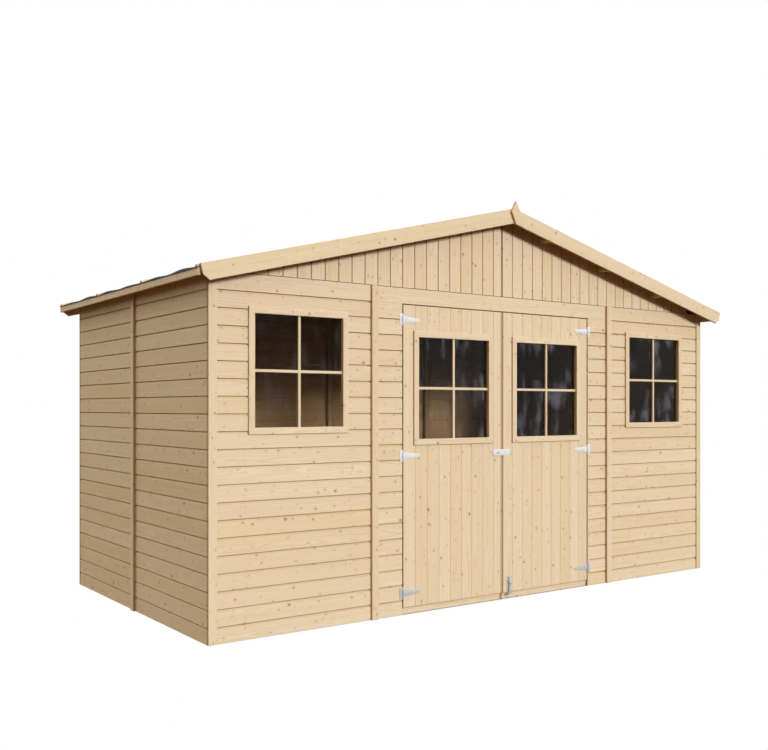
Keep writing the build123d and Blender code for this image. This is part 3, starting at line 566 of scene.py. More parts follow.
def islands(bm):
    """The separate boards in a mesh, each as a list of its corners."""
    seen_corners = set()
    for first in bm.verts:
        if first in seen_corners:
            continue
        seen_corners.add(first)
        group, waiting = [], [first]
        while waiting:
            corner = waiting.pop()
            group.append(corner)
            for side in corner.link_edges:
                other = side.other_vert(corner)
                if other not in seen_corners:
                    seen_corners.add(other)
                    waiting.append(other)
        yield group


def extent(group, axis):
    """How far a board reaches along an axis."""
    reach = [corner.co.dot(axis) for corner in group]
    return max(reach) - min(reach)


def middle_of(group):
    """The middle of a board's corners."""
    return sum((corner.co for corner in group), Vector()) / len(group)


# %% [markdown]
# ## Grain for each board
# The backs of boards, which a planer doesn't reach, stay rougher and browner. Edges, hollows
# and tongues get the same brown as painted shade, because in a low sun they lie in shade. A
# second material on those faces would do, but the figure of a board runs on over its edges,
# and that is simpler in one material. So each face keeps a number, from 0 for a planed, lit
# face to 1 for the most raw tone and painted shade, and the finish reads it. The backs of the
# leaves and window frames are planed better than most.

# %% How much raw tone and painted shade a face gets
END_FACING = 0.6
# Side faces, hollows and faces deep behind the front get painted shade; backs get the raw tone.
EDGE_RAW_AND_SHADE = 0.9
HOLLOW_RAW_AND_SHADE, HOLLOW_RECESS, FULL_FACING = 0.5, 1.2 * MM, 0.995
LEAF_BACK_RAW = 0.3
TONGUE_RECESS = 5 * MM


def raw_and_shade_share(turned, recess, seen_side, back):
    """How much raw tone and painted shade a face gets, from how far it turns to the front and how
    deep it lies.
    """
    if abs(turned) < END_FACING:
        return EDGE_RAW_AND_SHADE
    if not seen_side:
        return 0.0
    if turned < 0:
        return back
    if recess > TONGUE_RECESS:
        return 1.0
    return HOLLOW_RAW_AND_SHADE if recess > HOLLOW_RECESS and turned < FULL_FACING else 0.0


# %% Mark the grain
ACROSS_PITH, PITH_NEAR, PITH_FAR = 55 * MM, 18 * MM, 85 * MM
GRAIN_SHIFT = 40.0


def mark_grain(bm, name, along, out, back):
    """Gives each board its grain coordinates, and marks cut ends, raw backs and faces with painted
    shade.
    """
    grain_at = bm.verts.layers.float_vector.new("grain_at")
    board = bm.verts.layers.float.new("board")
    end_cut = bm.faces.layers.float.new("end_cut")
    raw_and_shade = bm.faces.layers.float.new("raw_and_shade")
    luck = random.Random(name)
    count = 0
    for group in islands(bm):
        count += 1
        middle = middle_of(group)
        run = along(middle) if callable(along) else along
        run = run or max(AXES, key=lambda axis: extent(group, axis))
        across = [axis for axis in AXES if abs(axis.dot(run)) < END_FACING]
        flat = out or min(across, key=lambda axis: extent(group, axis))
        side = flat.cross(run).normalized()
        through = run.cross(side).normalized()
        front = max(corner.co.dot(flat) for corner in group)
        shift = luck.uniform(0, GRAIN_SHIFT)
        pith_side = luck.uniform(-ACROSS_PITH, ACROSS_PITH)
        pith_depth = luck.uniform(PITH_NEAR, PITH_FAR) * luck.choice((-1, 1))
        tone = luck.random()
        for corner in group:
            offset = corner.co - middle
            corner[grain_at] = (
                offset.dot(run) + shift,
                offset.dot(side) + pith_side,
                offset.dot(through) + pith_depth,
            )
            corner[board] = tone
        for face in {face for corner in group for face in corner.link_faces}:
            face[end_cut] = float(abs(face.normal.dot(run)) > END_FACING)
            recess = front - face.calc_center_median().dot(flat)
            face[raw_and_shade] = raw_and_shade_share(face.normal.dot(flat), recess, bool(out), back)
    return count


# %% [markdown]
# ## Edges, pieces and cutting
# Edges are never quite sharp, and a thin bevel catches the light as a real edge does. Window
# holes are cut by a boolean after the boards are laid, as a saw would cut them, so that every
# board ends where the window starts. The other helpers turn a mesh into a piece of the shed:
# they give it its grain, its finish and the body that it rides on.

# %% Edges
CREASE = math.radians(24)


def turn_outwards(bm):
    """Makes every face look outwards."""
    bmesh.ops.recalc_face_normals(bm, faces=bm.faces)


def crease(bm):
    """Smooth curves, but crisp edges where two faces meet at more than a slight angle."""
    for face in bm.faces:
        face.smooth = True
    for side in bm.edges:
        side.smooth = len(side.link_faces) == 2 and side.calc_face_angle(math.pi) < CREASE


def ease(bm, width, steps=1, angle=CREASE):
    """Takes the sharpness off every edge, as sandpaper or a moulding knife does."""
    joined = [side for side in bm.edges if len(side.link_faces) == 2]
    sharp = [side for side in joined if side.calc_face_angle(0) > angle]
    bmesh.ops.bevel(bm, geom=sharp, offset=width, segments=steps, profile=0.5, affect="EDGES",
                    clamp_overlap=True)


# %% From a mesh to a piece
def as_piece(name, bm, body, slot, finish, stands_for=()):
    """Turns a mesh into a piece of the shed."""
    mesh = bpy.data.meshes.new(name)
    bm.to_mesh(mesh)
    bm.free()
    mesh.materials.append(finish)
    made = bpy.data.objects.new(name, mesh)
    bpy.context.scene.collection.objects.link(made)
    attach(made, body)
    if stands_for:
        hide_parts(*stands_for)
    return made


def wooden(name, bm, body="shed", along=None, out=None, rough_sawn=False, eased=0.0,
           stands_for=(), back=1.0):
    """Finishes a mesh of boards: normals, eased edges, grain, and the right pine."""
    turn_outwards(bm)
    if eased:
        ease(bm, eased)
        turn_outwards(bm)
    crease(bm)
    boards = mark_grain(bm, name, along, out, back)
    slot, finish = ("sawn_pine", sawn_pine) if rough_sawn else ("planed_pine", planed_pine)
    made = as_piece(name, bm, body, slot, finish, stands_for)
    print(name, boards, "boards", len(made.data.polygons), "faces")
    return made


# %% Cutting
def carve(bm, tool):
    """Cuts one mesh out of another and returns what is left."""
    blocks = []
    for label, source in (("carved", bm), ("chisel", tool)):
        turn_outwards(source)
        mesh = bpy.data.meshes.new(label)
        source.to_mesh(mesh)
        source.free()
        block = bpy.data.objects.new(label, mesh)
        bpy.context.scene.collection.objects.link(block)
        blocks.append(block)
    work, chisel = blocks
    cut = work.modifiers.new("cut", "BOOLEAN")
    cut.operation = "DIFFERENCE"
    cut.solver = "EXACT"
    cut.object = chisel
    left = bmesh.new()
    left.from_object(work, bpy.context.evaluated_depsgraph_get())
    for block in blocks:
        mesh = block.data
        bpy.data.objects.remove(block)
        bpy.data.meshes.remove(mesh)
    return left


def add_block(bm, low, high):
    """A plain block between two corners, as a start for cutting."""
    section = [(low[0], low[1]), (high[0], low[1]), (high[0], high[1]), (low[0], high[1])]
    add_prism(bm, section, lambda x, y, z: (x, y, z), low[2], high[2])


# %% [markdown]
# ## Wall boards
# The walls are clad with shiplap: each board has a hollow along its top edge, and the foot
# of the next board hangs over it, so that rain runs off. The hollow and the dark gap above
# it are real geometry here, because at a low sun they are what the eye reads as a wall of
# boards. One section is pushed along each course, then the window holes are cut.

# %% The shiplap section
BOARD_T = 16 * MM
GAP = 4.2 * MM
COVE_H, COVE_D = 8 * MM, 3.2 * MM
TONGUE_D, TONGUE_H = 12 * MM, 6 * MM
LAP_FIT = 0.5 * MM
BACK_VEE, BACK_GAP = 3.0 * MM, 2.0 * MM
ARRIS = 1.2 * MM
COVE_STEPS = 5


def even_steps(start, end, count):
    """Numbers from start to end in even steps."""
    return [start + (end - start) * index / count for index in range(count + 1)]


def hollow_and_tongue(head):
    """The upper edge of a course: the hollow, and the tongue behind the next board."""
    turns = even_steps(0.0, math.pi / 2, COVE_STEPS)
    top = [(COVE_D * math.sin(turn), head - GAP - COVE_H * math.cos(turn)) for turn in turns]
    top += [(TONGUE_D, head - GAP), (TONGUE_D, head + TONGUE_H)]
    return top + [(BOARD_T - BACK_VEE, head + TONGUE_H), (BOARD_T, head + TONGUE_H - BACK_VEE)]


def lapped_foot(foot):
    """The lower edge of a course, cut back to hang over the tongue below."""
    lap, shelf = TONGUE_D - LAP_FIT, foot + TONGUE_H + BACK_GAP
    return [(BOARD_T, shelf + BACK_VEE), (BOARD_T - BACK_VEE, shelf), (lap, shelf), (lap, foot)]


def shiplap(foot, head, first, last):
    """Section of one course as (depth from the face, height)."""
    lip = [(ARRIS, foot), (0, foot + ARRIS)]
    top = [(0, head), (BOARD_T, head)] if last else hollow_and_tongue(head)
    return lip + top + ([(BOARD_T, foot)] if first else lapped_foot(foot))


print("a course has", len(shiplap(0.0, 1.0, first=False, last=False)), "corners")

# %% Courses from the ground to the top
COVER = 88 * MM
FIRST_JOINT = 82.7 * MM
JOINT_PLAY = 0.5 * MM


def joints_up_to(top):
    """Heights of the joints between courses."""
    heights = [0.0]
    joint = FIRST_JOINT
    while joint < top - COVER / 2:
        heights.append(joint)
        joint += COVER
    return heights + [top]


def clad(bm, luck, place, start, end, top):
    """Courses of shiplap from the ground to the top, between two ends of a panel."""
    heights = joints_up_to(top)
    played = [z + luck.uniform(-JOINT_PLAY, JOINT_PLAY) if 0 < z < top else z for z in heights]
    last = len(played) - 2
    for index in range(last + 1):
        section = shiplap(played[index], played[index + 1], index == 0, index == last)
        add_prism(bm, section, place, start, end)


def facing(face, outward, along):
    """Puts a section on a wall: its face is at `face` along `outward`."""
    return lambda depth, z, s: outward * (face - depth) + along * s + UP * z


print("courses", len(joints_up_to(wall_high.z)) - 1)

# %% [markdown]
# ## Walls
# The walls come as panels that stand side by side with a narrow gap, and a batten covers each
# gap. One long panel for each side of the shed would be less code, but the real boards are cut
# at every gap, so their grain and knots change there. Each joint is up to half a millimetre
# off its even place, because no real panel is spaced exactly.

# %% Panels of the front
WINDOW_LIP = 12 * MM
HOLE_DEEP = 60 * MM


def window_hole(node):
    """The hole that a window sits in: its frame laps over the edge."""
    low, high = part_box(node)
    hole = bmesh.new()
    lip = Vector((WINDOW_LIP, 0, WINDOW_LIP))
    deep = Vector((0, HOLE_DEEP, 0))
    add_block(hole, low + lip - deep, high - lip + deep)
    return hole


def front_panel(node, name, window=None):
    """The boards of one panel of the front, with a hole if there is a window."""
    low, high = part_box(node)
    panel = bmesh.new()
    clad(panel, random.Random(node), facing(-low.y, -NORTH, EAST), low.x, high.x, high.z)
    if window:
        panel = carve(panel, window_hole(window))
    wooden(name, panel, along=EAST, out=-NORTH, stands_for=[node])


# %% Front and side walls
SIDES = {"left": -1, "right": 1}

panel_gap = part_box("front_wall_right")[0].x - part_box("door_wall_right")[1].x
for side in SIDES:
    front_panel(f"front_wall_{side}", f"front_boards_{side}", f"front_window_{side}")
    front_panel(f"door_wall_{side}", f"door_boards_{side}")

    node = f"{side}_wall"
    low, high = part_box(node)
    outward = EAST if low.x > 0 else -EAST
    face = max(abs(low.x), abs(high.x))
    wall = bmesh.new()
    for start, end in ((low.y, -panel_gap / 2), (panel_gap / 2, high.y)):
        luck = random.Random(f"{node}{start}")
        clad(wall, luck, facing(face, outward, NORTH), start, end, high.z)
    wooden(f"{side}_side_boards", wall, along=NORTH, out=outward, stands_for=[node])

# %% Back wall
node = "back_wall"
low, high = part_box(node)
joint_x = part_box("front_wall_right")[0].x - panel_gap / 2
wall = bmesh.new()
edges_of_panels = [low.x, -joint_x, 0.0, joint_x, high.x]
for index, (start, end) in enumerate(zip(edges_of_panels, edges_of_panels[1:])):
    start += panel_gap / 2 if start != low.x else 0
    end -= panel_gap / 2 if end != high.x else 0
    clad(wall, random.Random(f"{node}{index}"), facing(high.y, NORTH, EAST), start, end, high.z)
wooden("back_boards", wall, along=EAST, out=NORTH, stands_for=[node])

# %% The board over the doorway
node = "door_header"
low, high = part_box(node)
header = bmesh.new()
section = shiplap(low.z, high.z, first=True, last=True)
add_prism(header, section, facing(-low.y, -NORTH, EAST), low.x, high.x)
wooden("header_board", header, along=EAST, out=-NORTH, stands_for=[node])

# %% [markdown]
# ## Matched boards
# Over the doors and in the leaves the boards stand upright and are matched: a tongue on one
# edge fits a groove in the next, and small bevels leave a V at each joint. In the gable the
# V is deep and dark. A boolean could cut the gable boards to the slope of the roof, but it is
# cleaner to let the upper end of each prism follow the underside of the deck.

# %% The matched section
TONGUE_FRONT, TONGUE_BACK, TONGUE_OUT = 6 * MM, 10 * MM, 3 * MM
TONGUE_PLAY = 0.4 * MM


def matched(left, right, vee, vee_depth, slot_w, tongue=TONGUE_OUT):
    """Section of an upright board as (distance along the wall, depth from the face)."""
    reach = right - slot_w
    tip = right + tongue
    mouth = left + tongue + TONGUE_PLAY * 2
    return [
        (left + vee, 0), (reach - vee, 0), (reach, vee_depth),
        (reach, TONGUE_FRONT), (tip, TONGUE_FRONT), (tip, TONGUE_BACK), (reach, TONGUE_BACK),
        (reach, BOARD_T), (left, BOARD_T),
        (left, TONGUE_BACK + TONGUE_PLAY), (mouth, TONGUE_BACK + TONGUE_PLAY),
        (mouth, TONGUE_FRONT - TONGUE_PLAY), (left, TONGUE_FRONT - TONGUE_PLAY), (left, vee_depth),
    ]


print("a matched board has", len(matched(0.0, 1.0, 0.0, 0.0, 0.0)), "corners")

# %% Where the gable boards join
GABLE_COVER = 85.5 * MM
GABLE_FIRST_LEFT, GABLE_FIRST_RIGHT = -70 * MM, 87 * MM
THIN_END = 4 * MM

ridge_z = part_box("ridge_beam")[1].z
eave_z = wall_high.z
slope = (ridge_z - eave_z) / side_x
pitch = math.atan(slope)


def under_deck(x):
    """Height of the underside of the deck at x."""
    return ridge_z - abs(x) * slope


def gable_joints():
    """Places of the joints from one end of the gable to the other."""
    left = [GABLE_FIRST_LEFT]
    while left[-1] - GABLE_COVER > -side_x + THIN_END:
        left.append(left[-1] - GABLE_COVER)
    right = [GABLE_FIRST_RIGHT]
    while right[-1] + GABLE_COVER < side_x - THIN_END:
        right.append(right[-1] + GABLE_COVER)
    return [-side_x + THIN_END] + left[::-1], right + [side_x - THIN_END]


print("roof slope", round(math.degrees(pitch), 2), "degrees")

# %% [markdown]
# ## Reading the CAD solids
# A CAD node can hold several solids, and its flat faces are split into triangles. These
# helpers copy a node with its flat faces whole and give the box round each solid. They also
# make slightly larger copies, which cut the notches that a beam passes through.

# %% Copies and boxes of CAD solids
SAME_CORNER, STILL_FLAT = 0.01 * MM, math.radians(0.5)


def solids_of(node):
    """A copy of a CAD node's solids, with its corners joined and its flat faces whole."""
    bm = bmesh.new()
    bm.from_mesh(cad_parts[node].data)
    for layer in list(bm.loops.layers.uv):
        bm.loops.layers.uv.remove(layer)
    bmesh.ops.remove_doubles(bm, verts=bm.verts, dist=SAME_CORNER)
    bmesh.ops.dissolve_limit(bm, angle_limit=STILL_FLAT, verts=bm.verts, edges=bm.edges)
    return bm


def box_of(group):
    """The corners of the box round one solid."""
    reach = [[corner.co[axis] for corner in group] for axis in range(3)]
    return Vector([min(values) for values in reach]), Vector([max(values) for values in reach])


def boxes_in(node):
    """The box round each solid of a node."""
    bm = solids_of(node)
    found = [box_of(group) for group in islands(bm)]
    bm.free()
    return found


def widened(node, by):
    """Blocks a little larger than a node's solids, to cut notches with."""
    bm = solids_of(node)
    for group in islands(bm):
        middle = middle_of(group)
        for corner in group:
            away = corner.co - middle
            away.y = 0
            corner.co += away.normalized() * by * math.sqrt(2)
    return bm


# %% Gable boards
ENDS = {"front": -NORTH, "back": NORTH}
GABLE_MIDDLE = 4 * MM
GABLE_VEE, GABLE_VEE_DEPTH, GABLE_SLOT = 3.0 * MM, 4.5 * MM, 1.3 * MM
GABLE_FOOT_GAP = 3.0 * MM
NOTCH_FIT = 1.0 * MM

for end_name, outward in ENDS.items():
    node = f"{end_name}_gable"
    low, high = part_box(node)
    face = max(abs(low.y), abs(high.y))
    upright = lambda s, depth, z: EAST * s + outward * (face - depth) + UP * z
    left_joints, right_joints = gable_joints()
    usual = (GABLE_SLOT, TONGUE_OUT)
    boards = [(*pair, *usual) for pair in zip(left_joints, left_joints[1:])]
    boards += [(*pair, *usual) for pair in zip(right_joints, right_joints[1:])]
    boards.append((left_joints[-1], -GABLE_MIDDLE, 0.0, GABLE_MIDDLE))
    boards.append((GABLE_MIDDLE, right_joints[0], *usual))
    foot_z = low.z + GABLE_FOOT_GAP
    gable = bmesh.new()
    for left, right, slot_w, tongue in boards:
        section = matched(left, right, GABLE_VEE, GABLE_VEE_DEPTH, slot_w, tongue)
        add_prism(gable, section, upright, foot_z, lambda s, depth: under_deck(s))
    for beam in ("purlins", "ridge_beam"):
        gable = carve(gable, widened(beam, NOTCH_FIT))
    wooden(f"{end_name}_gable_boards", gable, along=UP, out=outward, stands_for=[node])

# %% [markdown]
# ## Door leaves
# The leaves have the same matched boards with finer joints. Their widths differ a little from
# board to board, so the joints are listed, in millimetres from the middle of the doorway. The
# last board of each leaf has no tongue, because nothing follows it.

# %% Leaf boards
LEAF_JOINTS = {
    "left": (-663, -578, -492, -407, -322, -243, -154, -70),
    "right": (85, 173, 254, 339, 424, 505, 593, 673),
}
LEAF_VEE, LEAF_VEE_DEPTH, LEAF_SLOT = 2.4 * MM, 1.8 * MM, 0.5 * MM
TONGUE_TIP = (4, 5)

for side, joints in LEAF_JOINTS.items():
    node = f"{side}_leaf"
    low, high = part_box(node)
    face = -low.y
    upright = lambda s, depth, z: EAST * s - NORTH * (face - depth) + UP * z
    stops = [low.x] + [joint * MM for joint in joints] + [high.x]
    leaf = bmesh.new()
    for left, right in zip(stops, stops[1:]):
        slot_w, tongue = (0.0, 0.0) if right == high.x else (LEAF_SLOT, TONGUE_OUT)
        section = matched(left, right, LEAF_VEE, LEAF_VEE_DEPTH, slot_w, tongue)
        if not tongue:
            section = [corner for index, corner in enumerate(section) if index not in TONGUE_TIP]
        add_prism(leaf, section, upright, low.z, high.z)
    leaf = carve(leaf, window_hole(f"{side}_leaf_window"))
    wooden(f"{side}_leaf_boards", leaf, f"{side}_door", along=UP, out=-NORTH, stands_for=[node],
           back=LEAF_BACK_RAW)

# %% [markdown]
# ## The closing strip
# Between the two leaves stays a gap that is wide enough for both to swing. A strip on the
# edge of the right leaf closes most of it against the weather. It is sawn, not planed, and
# lies a little back from the boards, so that the gap shows as a brown line. The strip moves
# with the right leaf and keeps clear of the left one.

# %% Closing strip
STRIP_CLEAR = 6 * MM
STRIP_BACK, STRIP_T = 6 * MM, 9 * MM
STRIP_EASE = 0.8 * MM

left_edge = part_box("left_leaf")[1].x
low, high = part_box("right_leaf")
strip = bmesh.new()
add_block(strip, (left_edge + STRIP_CLEAR, low.y + STRIP_BACK, low.z),
          (low.x, low.y + STRIP_BACK + STRIP_T, high.z))
wooden("closing_strip", strip, "right_door", along=UP, out=-NORTH, rough_sawn=True,
       eased=STRIP_EASE)

# %% [markdown]
# ## Door stops
# A lath is nailed to the posts and under the head of the doorway, just behind the leaves. It
# stops the leaves in line with the wall and closes the gap round them, so that a look into
# the gap ends on wood. The leaves swing outwards, away from the laths.

# %% Stops round the doorway
STOP_CLEAR = 1.5 * MM
STOP_W, STOP_T = 14 * MM, 16 * MM

post_left, post_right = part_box("door_wall_left")[1].x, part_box("door_wall_right")[0].x
head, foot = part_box("door_header")[0].z, low.z
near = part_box("left_leaf")[1].y + STOP_CLEAR
laths = bmesh.new()
for start, end, under in (
    (post_left, post_left + STOP_W, foot),
    (post_right - STOP_W, post_right, foot),
    (post_left + STOP_W, post_right - STOP_W, head - STOP_W),
):
    add_block(laths, (start, near, under), (end, near + STOP_T, head))
wooden("door_stops", laths, out=-NORTH, rough_sawn=True, eased=STRIP_EASE)

# %% [markdown]
# ## Straight timber
# Trims, cover battens, studs, rails, purlins and ledges are plain lengths of timber. Their
# CAD solids have the right shape already, so each is copied, its edges are eased by the
# millimetre or so that a planer and sandpaper take off, and it gets grain of its own. The
# rail under the leaves comes in two lengths, and a short sawn block splices them.

# %% Copy and ease the timber
TRIM_EASE = 1.6 * MM
SAWN_EASE = 0.8 * MM


def timber(name, node, body="shed", along=None, out=None, rough_sawn=False, eased=TRIM_EASE):
    """One piece with every solid of a node as an eased length of timber."""
    bm = solids_of(node)
    return wooden(name, bm, body, along, out, rough_sawn, eased, [node])


def down_the_slope(middle):
    """Direction of a roof timber, which depends on the side that it lies on."""
    side = 1 if middle.x > 0 else -1
    return Vector((math.cos(pitch), 0, -side * math.sin(pitch)))


timber("corner_posts", "corner_trims", along=UP)
timber("joint_battens", "cover_battens", along=UP)
timber("fascia_strips", "eave_fascias", along=NORTH)
timber("front_barge", "front_bargeboards", along=down_the_slope, out=-NORTH)
timber("back_barge", "back_bargeboards", along=down_the_slope, out=NORTH)
timber("finial_boards", "finials", along=UP, out=-NORTH)
timber("roof_slats", "felt_battens", along=down_the_slope, eased=SAWN_EASE)
timber("studs", "wall_studs", along=UP, rough_sawn=True, eased=SAWN_EASE)
timber("rails", "wall_rails", rough_sawn=True, eased=SAWN_EASE)
timber("sill_rails", "door_sill", along=EAST, out=-NORTH, eased=SAWN_EASE)

# %% Block between the sill rails, and the remaining timber
SPLICE_BACK = 7 * MM

left_sill, right_sill = sorted(boxes_in("door_sill"), key=lambda reach: reach[0].x)
splice = bmesh.new()
add_block(splice, (left_sill[1].x, left_sill[0].y + SPLICE_BACK, left_sill[0].z),
          (right_sill[0].x, left_sill[1].y, left_sill[1].z - SAWN_EASE))
wooden("sill_splice", splice, along=EAST, out=-NORTH, rough_sawn=True, eased=SAWN_EASE)
for name, node in (("purlin_timbers", "purlins"), ("ridge_timber", "ridge_beam")):
    timber(name, node, along=NORTH, rough_sawn=True, eased=SAWN_EASE)
for side in SIDES:
    name, node, body = f"{side}_ledges", f"{side}_leaf_ledges", f"{side}_door"
    timber(name, node, body, rough_sawn=True, eased=SAWN_EASE)

# %% [markdown]
# ## Windows
# Each window is a mitred frame that stands proud of the boards, a pane set in a rebate, and
# a thin cross of bars in front of the glass. A slab with a hole in it would look much the same
# from afar, but its corners would show no mitre and its grain would run one way only. The
# four sides are one section whose ends are cut at 45 degrees, so the start and end of each
# prism depend on how far a corner of the section lies from the outer edge.

# %% Mitred frames
FRAME_W = 35 * MM
FRAME_PROUD = 11 * MM
FRAME_BACK = 13 * MM
PANE_BEHIND = 23 * MM
REBATE = 8.4 * MM
FRAME_EASE = 2.0 * MM


def frame_section():
    """Section of a frame as (distance from the outer edge, depth from the front)."""
    deep = FRAME_PROUD + BOARD_T
    return [
        (FRAME_EASE, 0), (FRAME_W - FRAME_EASE, 0), (FRAME_W, FRAME_EASE), (FRAME_W, PANE_BEHIND),
        (FRAME_W - REBATE, PANE_BEHIND), (FRAME_W - REBATE, deep), (FRAME_BACK, deep),
        (FRAME_BACK, FRAME_PROUD), (0, FRAME_PROUD), (0, FRAME_EASE),
    ]


def mitred_frame(low, high):
    """Four sides of a window frame."""
    bm = bmesh.new()
    front = low.y
    width, tall = high.x - low.x, high.z - low.z
    runs = [
        (width, lambda inset, depth, s: (low.x + s, front + depth, low.z + inset)),
        (width, lambda inset, depth, s: (low.x + s, front + depth, high.z - inset)),
        (tall, lambda inset, depth, s: (low.x + inset, front + depth, low.z + s)),
        (tall, lambda inset, depth, s: (high.x - inset, front + depth, low.z + s)),
    ]
    for length, place in runs:
        add_prism(bm, frame_section(), place, lambda inset, depth: inset,
                  lambda inset, depth, length=length: length - inset)
    return bm


# %% Glazing bars
BAR_W, BAR_D = 14.5 * MM, 11 * MM
BAR_OFF_GLASS = 0.3 * MM
BAR_EASE = 0.8 * MM


def glazing_bars(node):
    """A cross of bars that stands on the glass."""
    low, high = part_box(node)
    glass_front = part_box(f"{node}_pane")[0].y - BAR_OFF_GLASS
    bm = bmesh.new()
    x, z = (low.x + high.x) / 2, (low.z + high.z) / 2
    half = BAR_W / 2
    rim = Vector((FRAME_W, 0, FRAME_W))
    sight_low, sight_high = low + rim, high - rim
    near_y = glass_front - BAR_D
    add_block(bm, (x - half, near_y, sight_low.z), (x + half, glass_front, sight_high.z))
    for start, end in ((sight_low.x, x - half), (x + half, sight_high.x)):
        add_block(bm, (start, near_y + BAR_EASE, z - half), (end, glass_front, z + half))
    return bm


# %% The four windows
WINDOWS = {
    "front_window_left": "shed",
    "front_window_right": "shed",
    "left_leaf_window": "left_door",
    "right_leaf_window": "right_door",
}
for node, body in WINDOWS.items():
    low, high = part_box(node)
    wooden(f"{node}_frame", mitred_frame(low, high), body, out=-NORTH, stands_for=[node],
           back=LEAF_BACK_RAW)
    wooden(f"{node}_bars", glazing_bars(node), body, out=-NORTH, eased=BAR_EASE)

# %% [markdown]
# ## Glass
# The panes are thin horticultural glass, and they keep the shape that the CAD model gives
# them. A mirror mixed with a see-through shader would render faster, but a glass shader finds
# by itself how much to mirror at each angle. Reflections in real panes swim a little, because
# the glass is faintly wavy, so it gets a very low bump, and a little dust.

# %% Glass finish
# Both tones tint the panes grey, which darkens the inside of the shed behind them as painted shade;
# the second has a little more dust.
GLASS_SHADE_TINT_CLEAN, GLASS_SHADE_TINT_DUSTY = card(178, 173, 163), card(178, 176, 170)
GLASS_WAVE = dict(scale=3.0, detail=1.0)
GLASS_LIFT = 0.08
GLASS_INDEX = 1.5
DUST = dict(scale=60.0, detail=4.0)
DUST_TINT, DUST_HAZE = (0.5, 0.8, 0.0, 0.1), (0.4, 0.8, 0.0, 0.04)

glass, tree, shader = new_finish("pane_glass")
where = put(tree, "ShaderNodeTexCoord").outputs["Object"]
ripple = noise(tree, where, **GLASS_WAVE).outputs["Fac"]
dust = noise(tree, where, **DUST).outputs["Fac"]
feed(shader, {
    "Base Color": tint(tree, fit(tree, dust, *DUST_TINT), GLASS_SHADE_TINT_CLEAN, GLASS_SHADE_TINT_DUSTY),
    "Roughness": fit(tree, dust, *DUST_HAZE),
    "Transmission Weight": 1.0,
    "IOR": GLASS_INDEX,
    "Normal": bumps(tree, ripple, MM, GLASS_LIFT),
})
for node in WINDOWS:
    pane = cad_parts[f"{node}_pane"]
    pane.material_slots[0].material = glass
    pane.visible_shadow = False
print("panes", len(WINDOWS))

# %% [markdown]
# ## Roof boards
# The deck is boards that run from the ridge to the eaves over the purlins. It could be one
# slab under the felt, but it shows from below at the eaves and through the open doors, so
# its boards are made one by one with a small V at each joint.

# %% Deck boards
DECK_COVER = 88 * MM
DECK_JOINT = 1.0 * MM
DECK_VEE = 1.5 * MM

for side_name, side in SIDES.items():
    node = f"roof_deck_{side_name}"
    low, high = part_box(node)
    eave_x = max(abs(low.x), abs(high.x))
    deck_rise = high.z - ridge_z
    count = round((high.y - low.y) / DECK_COVER)
    step = (high.y - low.y) / count
    on_slope = lambda y, lift, x: (side * x, y, under_deck(x) + lift)
    deck = bmesh.new()
    for index in range(count):
        start = low.y + index * step + (DECK_JOINT / 2 if index else 0)
        end = low.y + (index + 1) * step - (DECK_JOINT / 2 if index < count - 1 else 0)
        section = [
            (start + DECK_VEE, 0), (end - DECK_VEE, 0), (end, DECK_VEE), (end, deck_rise),
            (start, deck_rise), (start, DECK_VEE),
        ]
        add_prism(deck, section, on_slope, 0.0, eave_x)
    name = f"{side_name}_deck_boards"
    wooden(name, deck, along=down_the_slope, rough_sawn=True, stands_for=[node])

# %% [markdown]
# ## Felt
# Roofing felt is stiff and nailed down. It is held under the slats and lies loose between
# them, so it lifts in low waves towards the eaves, where it folds down over the edge of the
# deck. A cloth simulation could find those waves, but they are simple enough to write down:
# no lift at a slat, and two waves from one slat to the next. The upper course laps over the
# lower one.

# %% Where the felt is held and where it lifts
WAVES = 2
BATTENS = 4
SLAT_W = 25 * MM


def batten_places():
    """Places of the roof slats, which hold the felt down."""
    low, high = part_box("felt_battens")
    gap = (high.y - low.y - SLAT_W) / (BATTENS - 1)
    return [low.y + SLAT_W / 2 + index * gap for index in range(BATTENS)], gap


batten_ys, batten_gap = batten_places()


def looseness(y):
    """0 under a slat, up to 1 halfway up a wave between two slats."""
    part = ((y - batten_ys[0]) / batten_gap) % 1.0
    return math.sin(math.pi * WAVES * part) ** 2


print("slats", BATTENS, "each", round(batten_gap, 3), "m from the next")


def add_sheet(bm, xs, ys, top_point, bottom_point):
    """A thin sheet: two grids of corners, with a rim that joins their edges."""
    layers = [
        [[bm.verts.new(point(x, y)) for y in ys] for x in xs] for point in (top_point, bottom_point)
    ]
    last_x, last_y = len(xs) - 1, len(ys) - 1
    for grid in layers:
        for i in range(last_x):
            for j in range(last_y):
                bm.faces.new((grid[i][j], grid[i + 1][j], grid[i + 1][j + 1], grid[i][j + 1]))
    rim = [(i, 0) for i in range(last_x)] + [(last_x, j) for j in range(last_y)]
    rim += [(i, last_y) for i in range(last_x, 0, -1)] + [(0, j) for j in range(last_y, 0, -1)]
    top, bottom = layers
    for (i, j), (k, m) in zip(rim, rim[1:] + rim[:1]):
        bm.faces.new((top[i][j], top[k][m], bottom[k][m], bottom[i][j]))
    turn_outwards(bm)
    crease(bm)


# %% Felt sheets
FELT_STEP = 12 * MM
FELT_STEP_DOWN = 3 * FELT_STEP
WAVE_LIFT = 9.0 * MM
WAVE_SHARE_UP, EAVE_POWER = 0.15, 6
SWELL_LEAST, SWELL_RATE = 0.7, 5.1
DROOP = 2.5 * MM
DROOP_FROM = 9 * MM
FOLD_STEPS = 4
LAP_AT = 1.02
LAP_RISE = 3.8 * MM
LAP_RUN = 90 * MM


